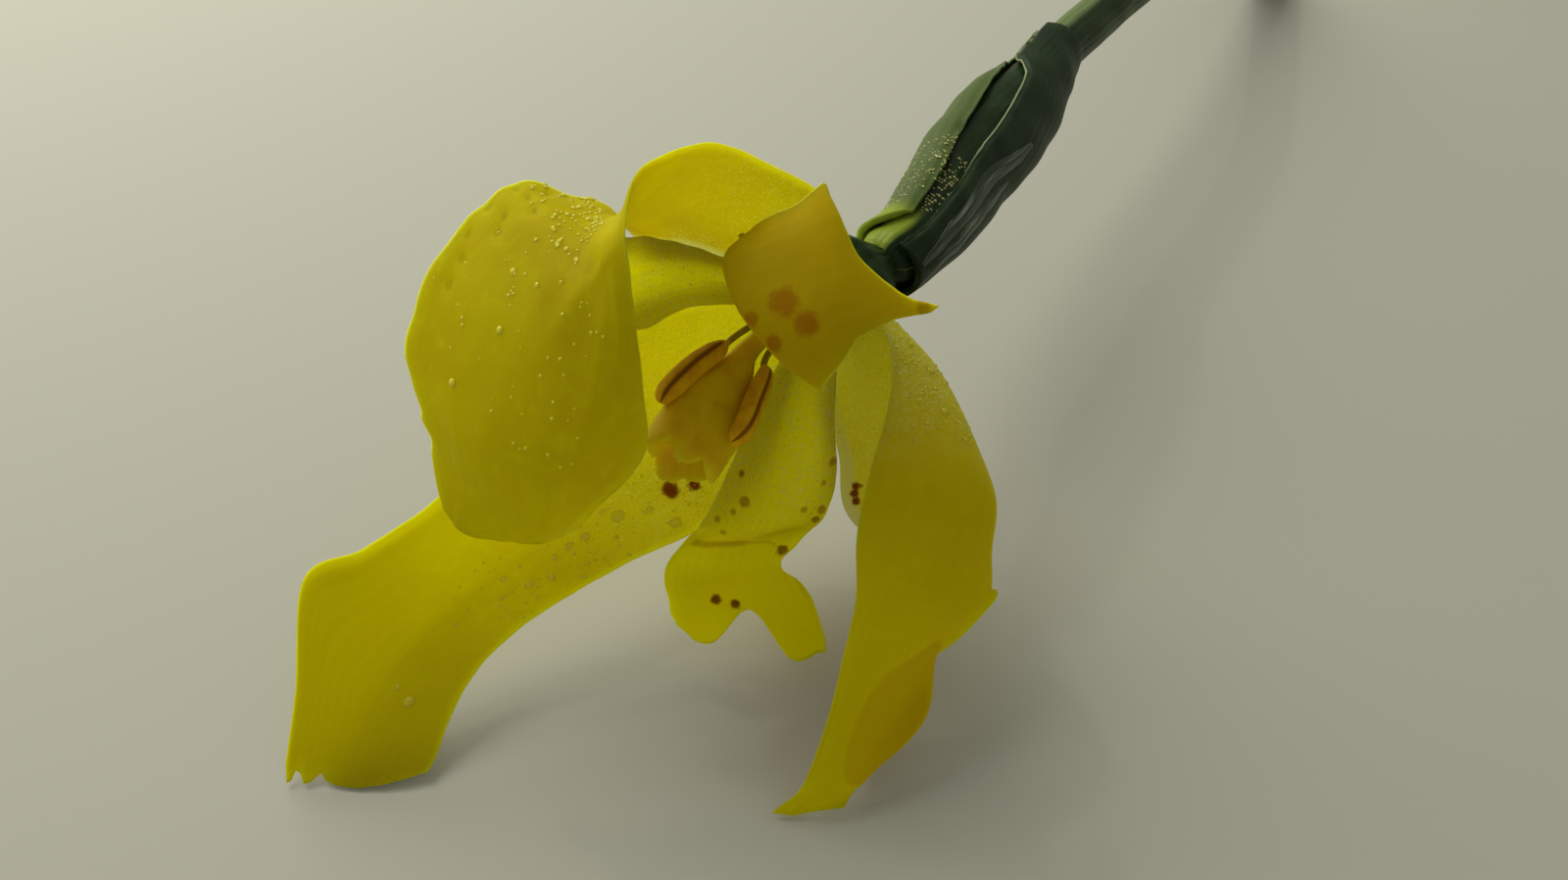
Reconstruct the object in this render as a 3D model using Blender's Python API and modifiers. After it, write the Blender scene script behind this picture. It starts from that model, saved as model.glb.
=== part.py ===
"""Apostle iris flower: a yellow walking iris, picked with its spathe and a length of stem, lying on its side.

Metres, +Z up, the surface that it lies on at z = 0. The stem runs to +Y and the flower faces -Y.
Lengths below are in mm. The flower's points are measured from its base, where the six tepals spring
from the ovary: x to the flower's right as it is looked into from the front, y back along the stem, z up.
"""

import math

import bmesh
import bpy
import numpy as np
from mathutils import Vector

MM = 0.001
NAME = "apostle_iris_flower"

# Driving dimensions
FLOWER_BASE = (-0.55, -28.8, 17.34)
PETAL_THICKNESS = 0.6
BRACT_THICKNESS = 0.6
CLEARANCE = 0.35
OUTER_RING = 2.9
INNER_RING = 1.7
OVARY_LENGTH = 4.4
STEM_RADIUS = 1.95
STEM_NECK_RADIUS = 1.1
ANTHER_RADIUS = 0.6
FILAMENT_RADIUS = 0.25
FILAMENT_TWIST = math.radians(14)
SPATHE_WIDE_ANGLE = math.radians(149)

# Grid steps between two given points, along and across a tepal
STEPS_ALONG = 2
STEPS_ACROSS = 2

YELLOW = (0.42, 0.32, 0.003)
DEEP_YELLOW = (0.34, 0.22, 0.003)
GOLD = (0.22, 0.13, 0.004)
BROWN_GOLD = (0.13, 0.06, 0.004)
LEAF_GREEN = (0.035, 0.085, 0.02)
PALE_GREEN = (0.12, 0.22, 0.05)

# Each tepal: the angle of its root round the flower's axis, then rows of points from root to tip,
# each row from one margin across the midrib to the other
OUTER_TOP = (
    104,
    -38,
    (
        ((-3.1, -1.5, 2.3), (-2.4, -1.5, 3.6), (-1, -1.5, 5.5), (0.5, -2, 7.5)),
        ((-5, -3.5, 2), (-4, -4.5, 5), (-2.5, -5, 8.5), (-1, -5.5, 11)),
        ((-7, -5.5, 3.5), (-5.5, -7.5, 7), (-4, -8.5, 10.5), (-2, -9.5, 14)),
        ((-8, -8.5, 5), (-6.5, -10.5, 8.5), (-4.5, -12.5, 12), (-3, -13.5, 14.5)),
        ((-9.5, -9.5, 7.5), (-6.5, -13, 9.5), (-4, -15, 11.5), (-2.5, -16, 13.5)),
        ((-10.5, -11, 8.5), (-6, -15, 10), (-3.5, -17, 11), (-1.5, -17.5, 12)),
        ((-12.5, -13, 10), (-6, -17.5, 9.5), (-2, -19, 9), (-0.5, -18.5, 9)),
        ((-14, -16.5, 8.5), (-6, -20, 7.5), (-1.5, -21, 6), (0.5, -19.5, 5.5)),
        ((-14.5, -20, 5.5), (-6.5, -22.5, 4.5), (-1.5, -23, 3), (1, -20.5, 2)),
        ((-13.5, -22.5, 2), (-7, -24.5, 1), (-2.5, -24, -0.5), (-1, -22.5, -1.5)),
        ((-11.5, -24, -1), (-7, -25, -2.5), (-3.5, -24.5, -3), (-2.5, -23.5, -3.5)),
        ((-9.5, -25.5, -3.5), (-7.5, -26, -4), (-5, -25, -4), (-4, -24.5, -4)),
    ),
)
OUTER_LEFT = (
    226,
    34,
    (
        ((-3.4, -1.8, -0.9), (-3.2, -3, -3.2), (-1, -2.5, -6.5)),
        ((-5, -4.5, 0), (-5.5, -8, -5.5), (-1.5, -7, -11)),
        ((-8, -9.5, 0), (-6.5, -13.5, -7.5), (-1.5, -12.5, -11.5)),
        ((-10.5, -16.5, -3), (-8, -19.5, -10), (-3.5, -17.5, -11.5)),
        ((-12.5, -23.5, -6), (-10, -24.5, -11.5), (-6, -23, -12.5)),
        ((-14, -28, -7), (-11, -29, -13), (-7, -27, -13.5)),
        ((-16, -31, -8), (-11.5, -32, -14.5), (-7, -30, -15)),
        ((-14.5, -34.5, -13), (-11, -34, -16), (-6.5, -32.5, -16.5)),
        ((-13.5, -37, -16), (-10.5, -36, -17), (-6.5, -34, -17)),
    ),
)
OUTER_RIGHT = (
    -20,
    -38,
    (
        ((3.5, -1.5, 1), (4.5, -1, 0), (4.5, -0.5, -2), (2.5, -0.5, -3.5), (0.5, 0, -4.5)),
        ((6.5, -4, 0), (8.5, -2.5, -1), (8.5, -2, -3.5), (5.5, -2.5, -6), (1.5, -3, -6.5)),
        ((8, -7, -1.5), (11.5, -5, -2), (12, -4, -5), (8.5, -5, -7.5), (4, -5.5, -8)),
        ((9, -10.5, -3), (13, -7.5, -3), (15, -6.5, -6), (11.5, -7.5, -9), (7, -8.5, -10)),
        ((10, -13.5, -5), (14, -11, -5), (16, -9.2, -7), (16, -8.6, -9), (14.5, -8.6, -10.5)),
        ((11.5, -16, -7), (13.5, -14.5, -7), (15.5, -12, -7.5), (16.5, -10.5, -9), (17, -9.5, -9.5)),
        ((12, -18, -9.5), (13.5, -17, -9.5), (15, -15.5, -10), (15.5, -13.5, -10.5), (16, -12.5, -11.5)),
        ((12.5, -20.5, -12.5), (14, -20, -12.5), (15.5, -18, -13), (16.5, -16.5, -13.5), (13, -17.5, -14.5)),
        ((12.5, -23, -15.5), (13.5, -22.5, -15.5), (14.5, -21.5, -15.5), (15, -20.5, -16), (14.5, -20, -16.5)),
        ((11.5, -24.5, -17), (12.5, -24, -17), (13.2, -23.3, -17), (14, -22.6, -17), (14.7, -22, -17)),
    ),
)
INNER_BOTTOM = (
    -80,
    34,
    (
        ((-1, -3.5, -3), (-1, -2.5, -3.5), (-0.5, -2, -3.5), (0.5, -1.5, -3), (1.5, -1.5, -2.5)),
        ((-1, -8, -6), (-0.5, -6.5, -6.5), (0, -5.5, -7), (1.5, -4.5, -6.5), (3, -4.5, -5.5)),
        ((-0.5, -11.5, -8), (0, -10, -9), (1.5, -8.5, -9.5), (3.5, -7.5, -8.5), (5, -7.5, -7.5)),
        ((-0.5, -14, -9.5), (0.5, -12.5, -10), (2, -11.5, -10.5), (4, -10.5, -10), (5.5, -9.5, -9)),
        ((-0.5, -15.5, -9.5), (0.5, -15, -10), (2.5, -13.5, -10), (4, -12.5, -9.5), (5, -12, -10)),
        ((-1, -17, -11), (1, -16.5, -10.5), (3, -15, -10.5), (4, -14, -10.5), (4.5, -13, -11)),
        ((-0.5, -17.5, -13.5), (1.5, -17, -12.5), (3, -15.5, -12), (5, -14.5, -12.5), (6, -13, -12.5)),
        ((0.5, -18, -15), (2.5, -17.5, -15), (4, -15.5, -13), (7, -15.6, -15.6), (8.2, -14.3, -15.8)),
    ),
)
INNER_UPPER = (
    45,
    -34,
    (
        ((-0.5, -2.5, 3.3), (0.5, -2.6, 3.7), (2, -3, 3.4), (3, -3.5, 3), (3.5, -4, 2)),
        ((-0.5, -5.5, 6), (0.5, -7, 6), (2.5, -8, 5.5), (4.5, -9, 4.5), (6, -9, 3.5)),
        ((-0.5, -8.5, 8), (0.5, -10.5, 8), (2.5, -12.5, 7), (5, -13, 5.5), (7, -12.5, 4)),
        ((0, -9, 9), (0.5, -12, 9), (3, -14, 8), (5.5, -14.5, 6.5), (8, -13.5, 4.5)),
        ((1, -8.5, 10), (2.5, -11, 10), (5, -13, 9), (7.5, -13.5, 7.5), (9.5, -12.5, 6)),
        ((2, -7, 10.5), (4, -9, 10.5), (6.5, -10.5, 9.5), (8.5, -11, 8), (9.5, -10.5, 6.5)),
        ((2, -5, 10.5), (4, -6.5, 10.5), (6.5, -8, 9.5), (8.5, -8, 8), (10, -7, 6.5)),
    ),
)
INNER_LEFT = (
    165,
    34,
    (
        ((-2, -3, 2), (-2.6, -2.7, 1.2), (-2.7, -2.7, 0.6), (-2.6, -2.7, 0.1), (-2.2, -3, -0.4)),
        ((-3.5, -6, 4), (-4.5, -5.5, 3), (-4.5, -5.5, 2), (-4, -5.5, 1.5), (-3, -6, 1)),
        ((-5, -8.5, 6), (-6, -8, 4.5), (-6, -8, 3.5), (-5.5, -8.5, 2.5), (-4.5, -9, 2)),
        ((-6.5, -10.5, 7), (-7.5, -10.5, 5), (-7.5, -11, 3.5), (-7, -11.5, 2.5), (-5.5, -12, 2)),
        ((-7, -12, 7.5), (-8, -12.5, 6), (-8, -13, 4), (-7.5, -13.5, 3), (-6.5, -14, 2.5)),
        ((-8.5, -12.5, 7), (-9, -13.5, 5.5), (-9, -14, 4), (-8.5, -15, 3), (-7.5, -15, 2)),
        ((-9.5, -12, 7), (-10.5, -13.5, 5.5), (-10, -14.5, 3.5), (-9.5, -15.5, 2), (-7.5, -15.5, 0.5)),
        ((-11, -11.5, 7), (-12, -13, 5.5), (-10.5, -14, 3.5), (-10, -16, 1), (-8, -16.5, 0)),
    ),
)

# Style: centre line, radius and three-sidedness, from the ovary to the crests
STYLE = (
    ((0, -0.35, 0), 0.5, 0.0),
    ((-0.6, -3.5, -0.1), 0.55, 0.0),
    ((-1.3, -7.3, -0.8), 0.65, 0.1),
    ((-1.1, -9.4, -1.3), 1.1, 0.15),
    ((-1, -11.5, -1.8), 1.6, 0.18),
    ((-0.8, -13.2, -2.3), 2, 0.18),
    ((-0.7, -14.6, -2.7), 2.05, 0.15),
)
STYLE_CREST = 1.6
STYLE_CORNER_ANGLES = (118, -2, 238)
ANTHER_TURNS = (0, 20, 0)

# Stem: centre line, from the spathe to the cut end
STEM = (
    (-2.1, 37, -0.9),
    (-2.1, 43, -1.1),
    (-2.2, 50, -1.4),
    (-2.2, 58, -2.3),
    (-2.1, 67, -4.7),
    (-2, 76, -8),
    (-1.8, 85, -11.8),
    (-1.6, 94, -15.55),
)

# Spathe: centre line, half width, half depth and the two margins of the outer bract in degrees,
# from the mouth to the stem
SPATHE = (
    ((1.6, 3.4, 0.3), 2.5, 2, 92, 58),
    ((1.9, 6.4, 0.2), 2.5, 2, 94, 60),
    ((1.4, 11.3, 0), 3, 2.25, 96, 62),
    ((0.6, 15.7, -0.1), 3.3, 2.45, 100, 63),
    ((0.2, 19.5, -0.2), 3.5, 2.6, 106, 65),
    ((-0.2, 23.6, -0.3), 3.5, 2.55, 115, 73),
    ((-0.5, 27.6, -0.5), 3.15, 2.4, 128, 92),
    ((-0.9, 30.6, -0.6), 2.65, 2.2, 146, 134),
    ((-1.5, 33.8, -0.7), 2.25, 2.1, 146, 132),
    ((-2.1, 36.6, -0.8), 2.1, 2, 146, 130),
)


def clear_scene():
    for obj in list(bpy.data.objects):
        bpy.data.objects.remove(obj, do_unlink=True)


def make_material(name, colour, roughness):
    material = bpy.data.materials.new(name)
    material.use_nodes = True
    shader = material.node_tree.nodes["Principled BSDF"]
    shader.inputs["Base Color"].default_value = (*colour, 1)
    shader.inputs["Roughness"].default_value = roughness
    shader.inputs["Metallic"].default_value = 0
    return material


def smooth_through(points, steps):
    """Points on the smooth curve through the given ones, with a number of steps between each two."""
    points = np.asarray(points, float)
    padded = np.concatenate([[2 * points[0] - points[1]], points, [2 * points[-1] - points[-2]]])
    curve = []
    for a, b, c, d in zip(padded, padded[1:], padded[2:], padded[3:]):
        for t in np.arange(steps) / steps:
            curve.append(b + 0.5 * t * (c - a + t * (2 * a - 5 * b + 4 * c - d + t * (3 * (b - c) + d - a))))
    curve.append(points[-1])
    return np.array(curve).tolist()


def add_object(name, shape, material, parent, collection):
    bmesh.ops.recalc_face_normals(shape, faces=shape.faces)
    mesh = bpy.data.meshes.new(name)
    shape.to_mesh(mesh)
    shape.free()
    mesh.shade_smooth()
    mesh.materials.append(material)
    obj = bpy.data.objects.new(name, mesh)
    obj.parent = parent
    collection.objects.link(obj)
    return obj


def sheet(points):
    """An open grid through rows of points in mm, split into triangles."""
    rows, columns = points.shape[:2]
    shape = bmesh.new()
    bmesh.ops.create_grid(shape, x_segments=columns - 1, y_segments=rows - 1, size=1)
    shape.verts.ensure_lookup_table()
    for vert, point in zip(shape.verts, points.reshape(-1, 3)):
        vert.co = Vector(point) * MM
    bmesh.ops.triangulate(shape, faces=shape.faces[:])
    return shape


def thicken(obj, thickness):
    solidify = obj.modifiers.new("thickness", "SOLIDIFY")
    solidify.thickness = thickness * MM
    solidify.offset = 0
    solidify.use_even_offset = True


def loft(rings):
    """A closed body through rings of points in mm, with flat ends."""
    shape = bmesh.new()
    loops = [[shape.verts.new(Vector(p) * MM) for p in ring] for ring in rings]
    count = len(loops[0])
    for ring, following in zip(loops, loops[1:]):
        for i in range(count):
            j = (i + 1) % count
            shape.faces.new((ring[i], ring[j], following[j], following[i]))
    for ring in (loops[0], loops[-1]):
        cap = shape.faces.new(ring)
        bmesh.ops.poke(shape, faces=[cap])
    bmesh.ops.triangulate(shape, faces=shape.faces[:])
    return shape


def cross_frame(tangent):
    """The two directions across a line: near the part's X and near its Z."""
    tangent = Vector(tangent).normalized()
    side = Vector((1, 0, 0)) - tangent * tangent.x
    side.normalize()
    upward = side.cross(tangent)
    if upward.z < 0:
        upward.negate()
    return side, upward


def tangents(centres):
    return np.gradient(np.asarray(centres, float), axis=0).tolist()


def tepal_points(root_angle, root_span, ring, rows):
    """Rows of points with the root row added, which lies on a ring round the flower's axis."""
    count = len(rows[0])
    angles = np.radians(np.linspace(root_angle - root_span, root_angle + root_span, count))
    root = [(ring * math.cos(a), 0, ring * math.sin(a)) for a in angles]
    net = np.array([root, *rows], float)
    along = np.array(smooth_through(net, STEPS_ALONG))
    across = np.array(smooth_through(along.swapaxes(0, 1), STEPS_ACROSS))
    return across.swapaxes(0, 1)


def make_tepals(parent, collection):
    outer = make_material("outer_tepal", YELLOW, 0.5)
    inner = make_material("inner_tepal", DEEP_YELLOW, 0.5)
    tepals = (
        ("outer_tepal_top", OUTER_TOP, OUTER_RING, outer),
        ("outer_tepal_left", OUTER_LEFT, OUTER_RING, outer),
        ("outer_tepal_right", OUTER_RIGHT, OUTER_RING, outer),
        ("inner_tepal_bottom", INNER_BOTTOM, INNER_RING, inner),
        ("inner_tepal_upper", INNER_UPPER, INNER_RING, inner),
        ("inner_tepal_left", INNER_LEFT, INNER_RING, inner),
    )
    for name, (angle, span, rows), ring, material in tepals:
        points = tepal_points(angle, span, ring, rows)
        obj = add_object(name, sheet(points), material, parent, collection)
        thicken(obj, PETAL_THICKNESS)


def make_style(parent, collection):
    """A three-sided column that widens from the ovary to a crown of six crests."""
    sides = 24
    centres = smooth_through([s[0] for s in STYLE], 2)
    sizes = smooth_through([[s[1], s[2]] for s in STYLE], 2)
    corner = math.radians(STYLE_CORNER_ANGLES[0])
    rings = []
    for centre, tangent, (radius, lobes) in zip(centres, tangents(centres), sizes):
        side, upward = cross_frame(tangent)
        ring = []
        for i in range(sides):
            angle = 2 * math.pi * i / sides
            reach = radius * (1 + lobes * math.cos(3 * (angle - corner)))
            ring.append(Vector(centre) + reach * (math.cos(angle) * side + math.sin(angle) * upward))
        rings.append(ring)
    forward = Vector(tangents(centres)[-1]).normalized()
    middle = Vector(centres[-1])
    crown, hollow = [], []
    for i, point in enumerate(rings[-1]):
        angle = 2 * math.pi * i / sides
        crest = STYLE_CREST * abs(math.cos(3 * (angle - corner)))
        crown.append(middle + (point - middle) * 0.95 + forward * (0.2 + crest))
        hollow.append(middle + (point - middle) * 0.6 + forward * (0.1 + 0.4 * crest))
    add_object(
        "style",
        loft([*rings, crown, hollow]),
        make_material("style", GOLD, 0.55),
        parent,
        collection,
    )


def make_stamens(parent, collection):
    """Three stamens, each pressed to a corner of the style, with the filament running to the ovary."""
    material = make_material("anther", BROWN_GOLD, 0.7)
    centres = smooth_through([s[0] for s in STYLE], 2)
    sizes = smooth_through([[s[1], s[2]] for s in STYLE], 2)
    directions = tangents(centres)
    for number, (corner, turn) in enumerate(zip(STYLE_CORNER_ANGLES, ANTHER_TURNS), 1):
        path = []
        for i in range(len(centres) - 1):
            side, upward = cross_frame(directions[i])
            radius, lobes = sizes[i]
            angle = math.radians(corner + turn * max(0, i - 5) / 5) - FILAMENT_TWIST * max(0, 4 - i) / 4
            outward = math.cos(angle) * side + math.sin(angle) * upward
            half = ANTHER_RADIUS if i >= 4 else FILAMENT_RADIUS
            reach = radius * (1 + lobes) + half + CLEARANCE
            path.append((Vector(centres[i]) + reach * outward, half, side, upward))
        rings = []
        for place, half, side, upward in path:
            rings.append(
                [
                    place + half * (math.cos(a) * side + math.sin(a) * upward)
                    for a in np.arange(8) * math.pi / 4
                ]
            )
        add_object(f"stamen_{number}", loft(rings), material, parent, collection)


def make_ovary(parent, collection):
    """The green ovary: a bluntly three-angled body that flares into the seat of the tepals."""
    sides = 18
    profile = ((0.65, 3.2), (1.1, 3), (1.8, 2.5), (2.6, 1.7), (3.4, 1.15), (OVARY_LENGTH, 1))
    rings = []
    for along, radius in profile:
        centre = Vector((0.42 * along, along, 0.07 * along))
        ring = []
        for i in range(sides):
            angle = 2 * math.pi * i / sides
            reach = radius * (1 + 0.05 * math.cos(3 * angle))
            ring.append(centre + reach * Vector((math.cos(angle), 0, math.sin(angle))))
        rings.append(ring)
    add_object("ovary", loft(rings), make_material("ovary", PALE_GREEN, 0.5), parent, collection)


def spathe_point(centre, half_width, half_depth, angle, inset=0.0):
    """A point of the spathe's surface, or of one that lies a distance inside it."""
    wide = math.cos(angle - SPATHE_WIDE_ANGLE) / (half_width - inset)
    deep = math.sin(angle - SPATHE_WIDE_ANGLE) / (half_depth - inset)
    reach = 1 / math.hypot(wide, deep)
    return (centre[0] + reach * math.cos(angle), centre[1], centre[2] + reach * math.sin(angle))


def make_spathe(parent, collection):
    """The outer bract is folded round the inner one, which shows between its two margins."""
    centres = smooth_through([s[0] for s in SPATHE], 2)
    sizes = smooth_through([s[1:] for s in SPATHE], 2)
    columns = 25
    rows = []
    for centre, (half_width, half_depth, upper, lower) in zip(centres, sizes):
        angles = np.radians(np.linspace(upper, lower + 360, columns))
        rows.append([spathe_point(centre, half_width, half_depth, a) for a in angles])
    outer = add_object(
        "spathe_outer_bract",
        sheet(np.array(rows)),
        make_material("outer_bract", LEAF_GREEN, 0.45),
        parent,
        collection,
    )
    thicken(outer, BRACT_THICKNESS)

    inset = BRACT_THICKNESS / 2 + CLEARANCE
    turns = np.arange(30) * 2 * math.pi / 30
    rings = [
        [spathe_point(centre, half_width, half_depth, a, inset) for a in turns]
        for centre, (half_width, half_depth, _, _) in zip(centres[1:-3], sizes[1:-3])
    ]
    add_object(
        "spathe_inner_bract",
        loft(rings),
        make_material("inner_bract", PALE_GREEN, 0.45),
        parent,
        collection,
    )


def make_stem(parent, collection):
    """The stem, with a thinner neck inside the spathe's base and a plain cut end."""
    line = [Vector(p) for p in smooth_through(STEM, 3)]
    back = (line[1] - line[0]).normalized()
    centres = [line[0] - 1.6 * back, line[0] - 0.01 * back, *line]
    radii = [STEM_NECK_RADIUS, STEM_NECK_RADIUS] + [STEM_RADIUS] * len(line)
    rings = []
    for centre, radius, tangent in zip(centres, radii, tangents([tuple(c) for c in centres])):
        side, upward = cross_frame(tangent)
        rings.append(
            [
                centre + radius * (math.cos(a) * side + math.sin(a) * upward)
                for a in np.arange(14) * math.pi / 7
            ]
        )
    add_object("stem", loft(rings), make_material("stem", PALE_GREEN, 0.4), parent, collection)


def main():
    clear_scene()
    collection = bpy.data.collections.new(NAME)
    bpy.context.scene.collection.children.link(collection)
    base = bpy.data.objects.new("flower_base", None)
    base.location = Vector(FLOWER_BASE) * MM
    collection.objects.link(base)
    make_tepals(base, collection)
    make_style(base, collection)
    make_stamens(base, collection)
    make_ovary(base, collection)
    make_spathe(base, collection)
    make_stem(base, collection)
    bpy.context.view_layer.update()


main()
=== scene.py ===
"""Looks of the apostle iris flower: veined tepals with dew, crested style, split anthers, ribbed spathe."""

from math import cos, pi, radians, sin, sqrt

import bpy
import numpy as np
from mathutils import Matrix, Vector


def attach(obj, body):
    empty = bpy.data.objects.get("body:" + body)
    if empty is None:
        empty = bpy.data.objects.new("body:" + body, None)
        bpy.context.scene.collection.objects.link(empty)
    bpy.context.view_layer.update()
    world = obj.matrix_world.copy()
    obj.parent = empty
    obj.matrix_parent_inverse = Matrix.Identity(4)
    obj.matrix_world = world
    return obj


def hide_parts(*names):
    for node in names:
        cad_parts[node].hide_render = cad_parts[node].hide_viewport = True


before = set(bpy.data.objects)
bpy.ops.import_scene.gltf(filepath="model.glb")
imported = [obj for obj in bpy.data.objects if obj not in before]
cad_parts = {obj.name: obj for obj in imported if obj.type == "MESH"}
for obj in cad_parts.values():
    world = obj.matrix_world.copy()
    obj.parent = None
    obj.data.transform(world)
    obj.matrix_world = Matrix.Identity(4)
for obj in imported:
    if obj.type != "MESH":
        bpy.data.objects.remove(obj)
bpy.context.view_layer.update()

MM = 0.001
TURN = 2 * pi
BODY = "root"

# The flower's base in the frame, in mm, and the rings that the tepals spring from
BASE = np.array((-0.55, -28.8, 17.34))
OUTER_RING = 2.9
INNER_RING = 1.7

# The viewpoint: where the camera is from the flower's base, its turn and its height
CAMERA_FROM_BASE = np.array((37.81, -63.78, 53.72))
CAMERA_AZIMUTH = radians(33)
CAMERA_ELEVATION = radians(42)
LENS = 33.75
SENSOR = 36.0
CAMERA = BASE + CAMERA_FROM_BASE

# Tepals: root angle and span in degrees, then rows of points from root to tip, in mm from the base
OUTER_TOP = (104, -38, (
    ((-3.1, -1.5, 2.3), (-2.4, -1.5, 3.6), (-1, -1.5, 5.5), (0.5, -2, 7.5)),
    ((-5, -3.5, 2), (-4, -4.5, 5), (-2.5, -5, 8.5), (-1, -5.5, 11)),
    ((-7, -5.5, 3.5), (-5.5, -7.5, 7), (-4, -8.5, 10.5), (-2, -9.5, 14)),
    ((-8, -8.5, 5), (-6.5, -10.5, 8.5), (-4.5, -12.5, 12), (-3, -13.5, 14.5)),
    ((-9.5, -9.5, 7.5), (-6.5, -13, 9.5), (-4, -15, 11.5), (-2.5, -16, 13.5)),
    ((-10.5, -11, 8.5), (-6, -15, 10), (-3.5, -17, 11), (-1.5, -17.5, 12)),
    ((-12.5, -13, 10), (-6, -17.5, 9.5), (-2, -19, 9), (-0.5, -18.5, 9)),
    ((-14, -16.5, 8.5), (-6, -20, 7.5), (-1.5, -21, 6), (0.5, -19.5, 5.5)),
    ((-14.5, -20, 5.5), (-6.5, -22.5, 4.5), (-1.5, -23, 3), (1, -20.5, 2)),
    ((-13.5, -22.5, 2), (-7, -24.5, 1), (-2.5, -24, -0.5), (-1, -22.5, -1.5)),
    ((-11.5, -24, -1), (-7, -25, -2.5), (-3.5, -24.5, -3), (-2.5, -23.5, -3.5)),
    ((-9.5, -25.5, -3.5), (-7.5, -26, -4), (-5, -25, -4), (-4, -24.5, -4)),
))
OUTER_LEFT = (226, 34, (
    ((-3.4, -1.8, -0.9), (-3.2, -3, -3.2), (-1, -2.5, -6.5)),
    ((-5, -4.5, 0), (-5.5, -8, -5.5), (-1.5, -7, -11)),
    ((-8, -9.5, 0), (-6.5, -13.5, -7.5), (-1.5, -12.5, -11.5)),
    ((-10.5, -16.5, -3), (-8, -19.5, -10), (-3.5, -17.5, -11.5)),
    ((-12.5, -23.5, -6), (-10, -24.5, -11.5), (-6, -23, -12.5)),
    ((-14, -28, -7), (-11, -29, -13), (-7, -27, -13.5)),
    ((-16, -31, -8), (-11.5, -32, -14.5), (-7, -30, -15)),
    ((-14.5, -34.5, -13), (-11, -34, -16), (-6.5, -32.5, -16.5)),
    ((-13.5, -37, -16), (-10.5, -36, -17), (-6.5, -34, -17)),
))
OUTER_RIGHT = (-20, -38, (
    ((3.5, -1.5, 1), (4.5, -1, 0), (4.5, -0.5, -2), (2.5, -0.5, -3.5), (0.5, 0, -4.5)),
    ((6.5, -4, 0), (8.5, -2.5, -1), (8.5, -2, -3.5), (5.5, -2.5, -6), (1.5, -3, -6.5)),
    ((8, -7, -1.5), (11.5, -5, -2), (12, -4, -5), (8.5, -5, -7.5), (4, -5.5, -8)),
    ((9, -10.5, -3), (13, -7.5, -3), (15, -6.5, -6), (11.5, -7.5, -9), (7, -8.5, -10)),
    ((10, -13.5, -5), (14, -11, -5), (16, -9.2, -7), (16, -8.6, -9), (14.5, -8.6, -10.5)),
    ((11.5, -16, -7), (13.5, -14.5, -7), (15.5, -12, -7.5), (16.5, -10.5, -9), (17, -9.5, -9.5)),
    ((12, -18, -9.5), (13.5, -17, -9.5), (15, -15.5, -10), (15.5, -13.5, -10.5), (16, -12.5, -11.5)),
    ((12.5, -20.5, -12.5), (14, -20, -12.5), (15.5, -18, -13), (16.5, -16.5, -13.5), (13, -17.5, -14.5)),
    ((12.5, -23, -15.5), (13.5, -22.5, -15.5), (14.5, -21.5, -15.5), (15, -20.5, -16), (14.5, -20, -16.5)),
    ((11.5, -24.5, -17), (12.5, -24, -17), (13.2, -23.3, -17), (14, -22.6, -17), (14.7, -22, -17)),
))
INNER_BOTTOM = (-80, 34, (
    ((-1, -3.5, -3), (-1, -2.5, -3.5), (-0.5, -2, -3.5), (0.5, -1.5, -3), (1.5, -1.5, -2.5)),
    ((-1, -8, -6), (-0.5, -6.5, -6.5), (0, -5.5, -7), (1.5, -4.5, -6.5), (3, -4.5, -5.5)),
    ((-0.5, -11.5, -8), (0, -10, -9), (1.5, -8.5, -9.5), (3.5, -7.5, -8.5), (5, -7.5, -7.5)),
    ((-0.5, -14, -9.5), (0.5, -12.5, -10), (2, -11.5, -10.5), (4, -10.5, -10), (5.5, -9.5, -9)),
    ((-0.5, -15.5, -9.5), (0.5, -15, -10), (2.5, -13.5, -10), (4, -12.5, -9.5), (5, -12, -10)),
    ((-1, -17, -11), (1, -16.5, -10.5), (3, -15, -10.5), (4, -14, -10.5), (4.5, -13, -11)),
    ((-0.5, -17.5, -13.5), (1.5, -17, -12.5), (3, -15.5, -12), (5, -14.5, -12.5), (6, -13, -12.5)),
    ((0.5, -18, -15), (2.5, -17.5, -15), (4, -15.5, -13), (7, -15.6, -15.6), (8.2, -14.3, -15.8)),
))
INNER_UPPER = (45, -34, (
    ((-0.5, -2.5, 3.3), (0.5, -2.6, 3.7), (2, -3, 3.4), (3, -3.5, 3), (3.5, -4, 2)),
    ((-0.5, -5.5, 6), (0.5, -7, 6), (2.5, -8, 5.5), (4.5, -9, 4.5), (6, -9, 3.5)),
    ((-0.5, -8.5, 8), (0.5, -10.5, 8), (2.5, -12.5, 7), (5, -13, 5.5), (7, -12.5, 4)),
    ((0, -9, 9), (0.5, -12, 9), (3, -14, 8), (5.5, -14.5, 6.5), (8, -13.5, 4.5)),
    ((1, -8.5, 10), (2.5, -11, 10), (5, -13, 9), (7.5, -13.5, 7.5), (9.5, -12.5, 6)),
    ((2, -7, 10.5), (4, -9, 10.5), (6.5, -10.5, 9.5), (8.5, -11, 8), (9.5, -10.5, 6.5)),
    ((2, -5, 10.5), (4, -6.5, 10.5), (6.5, -8, 9.5), (8.5, -8, 8), (10, -7, 6.5)),
))
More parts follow.
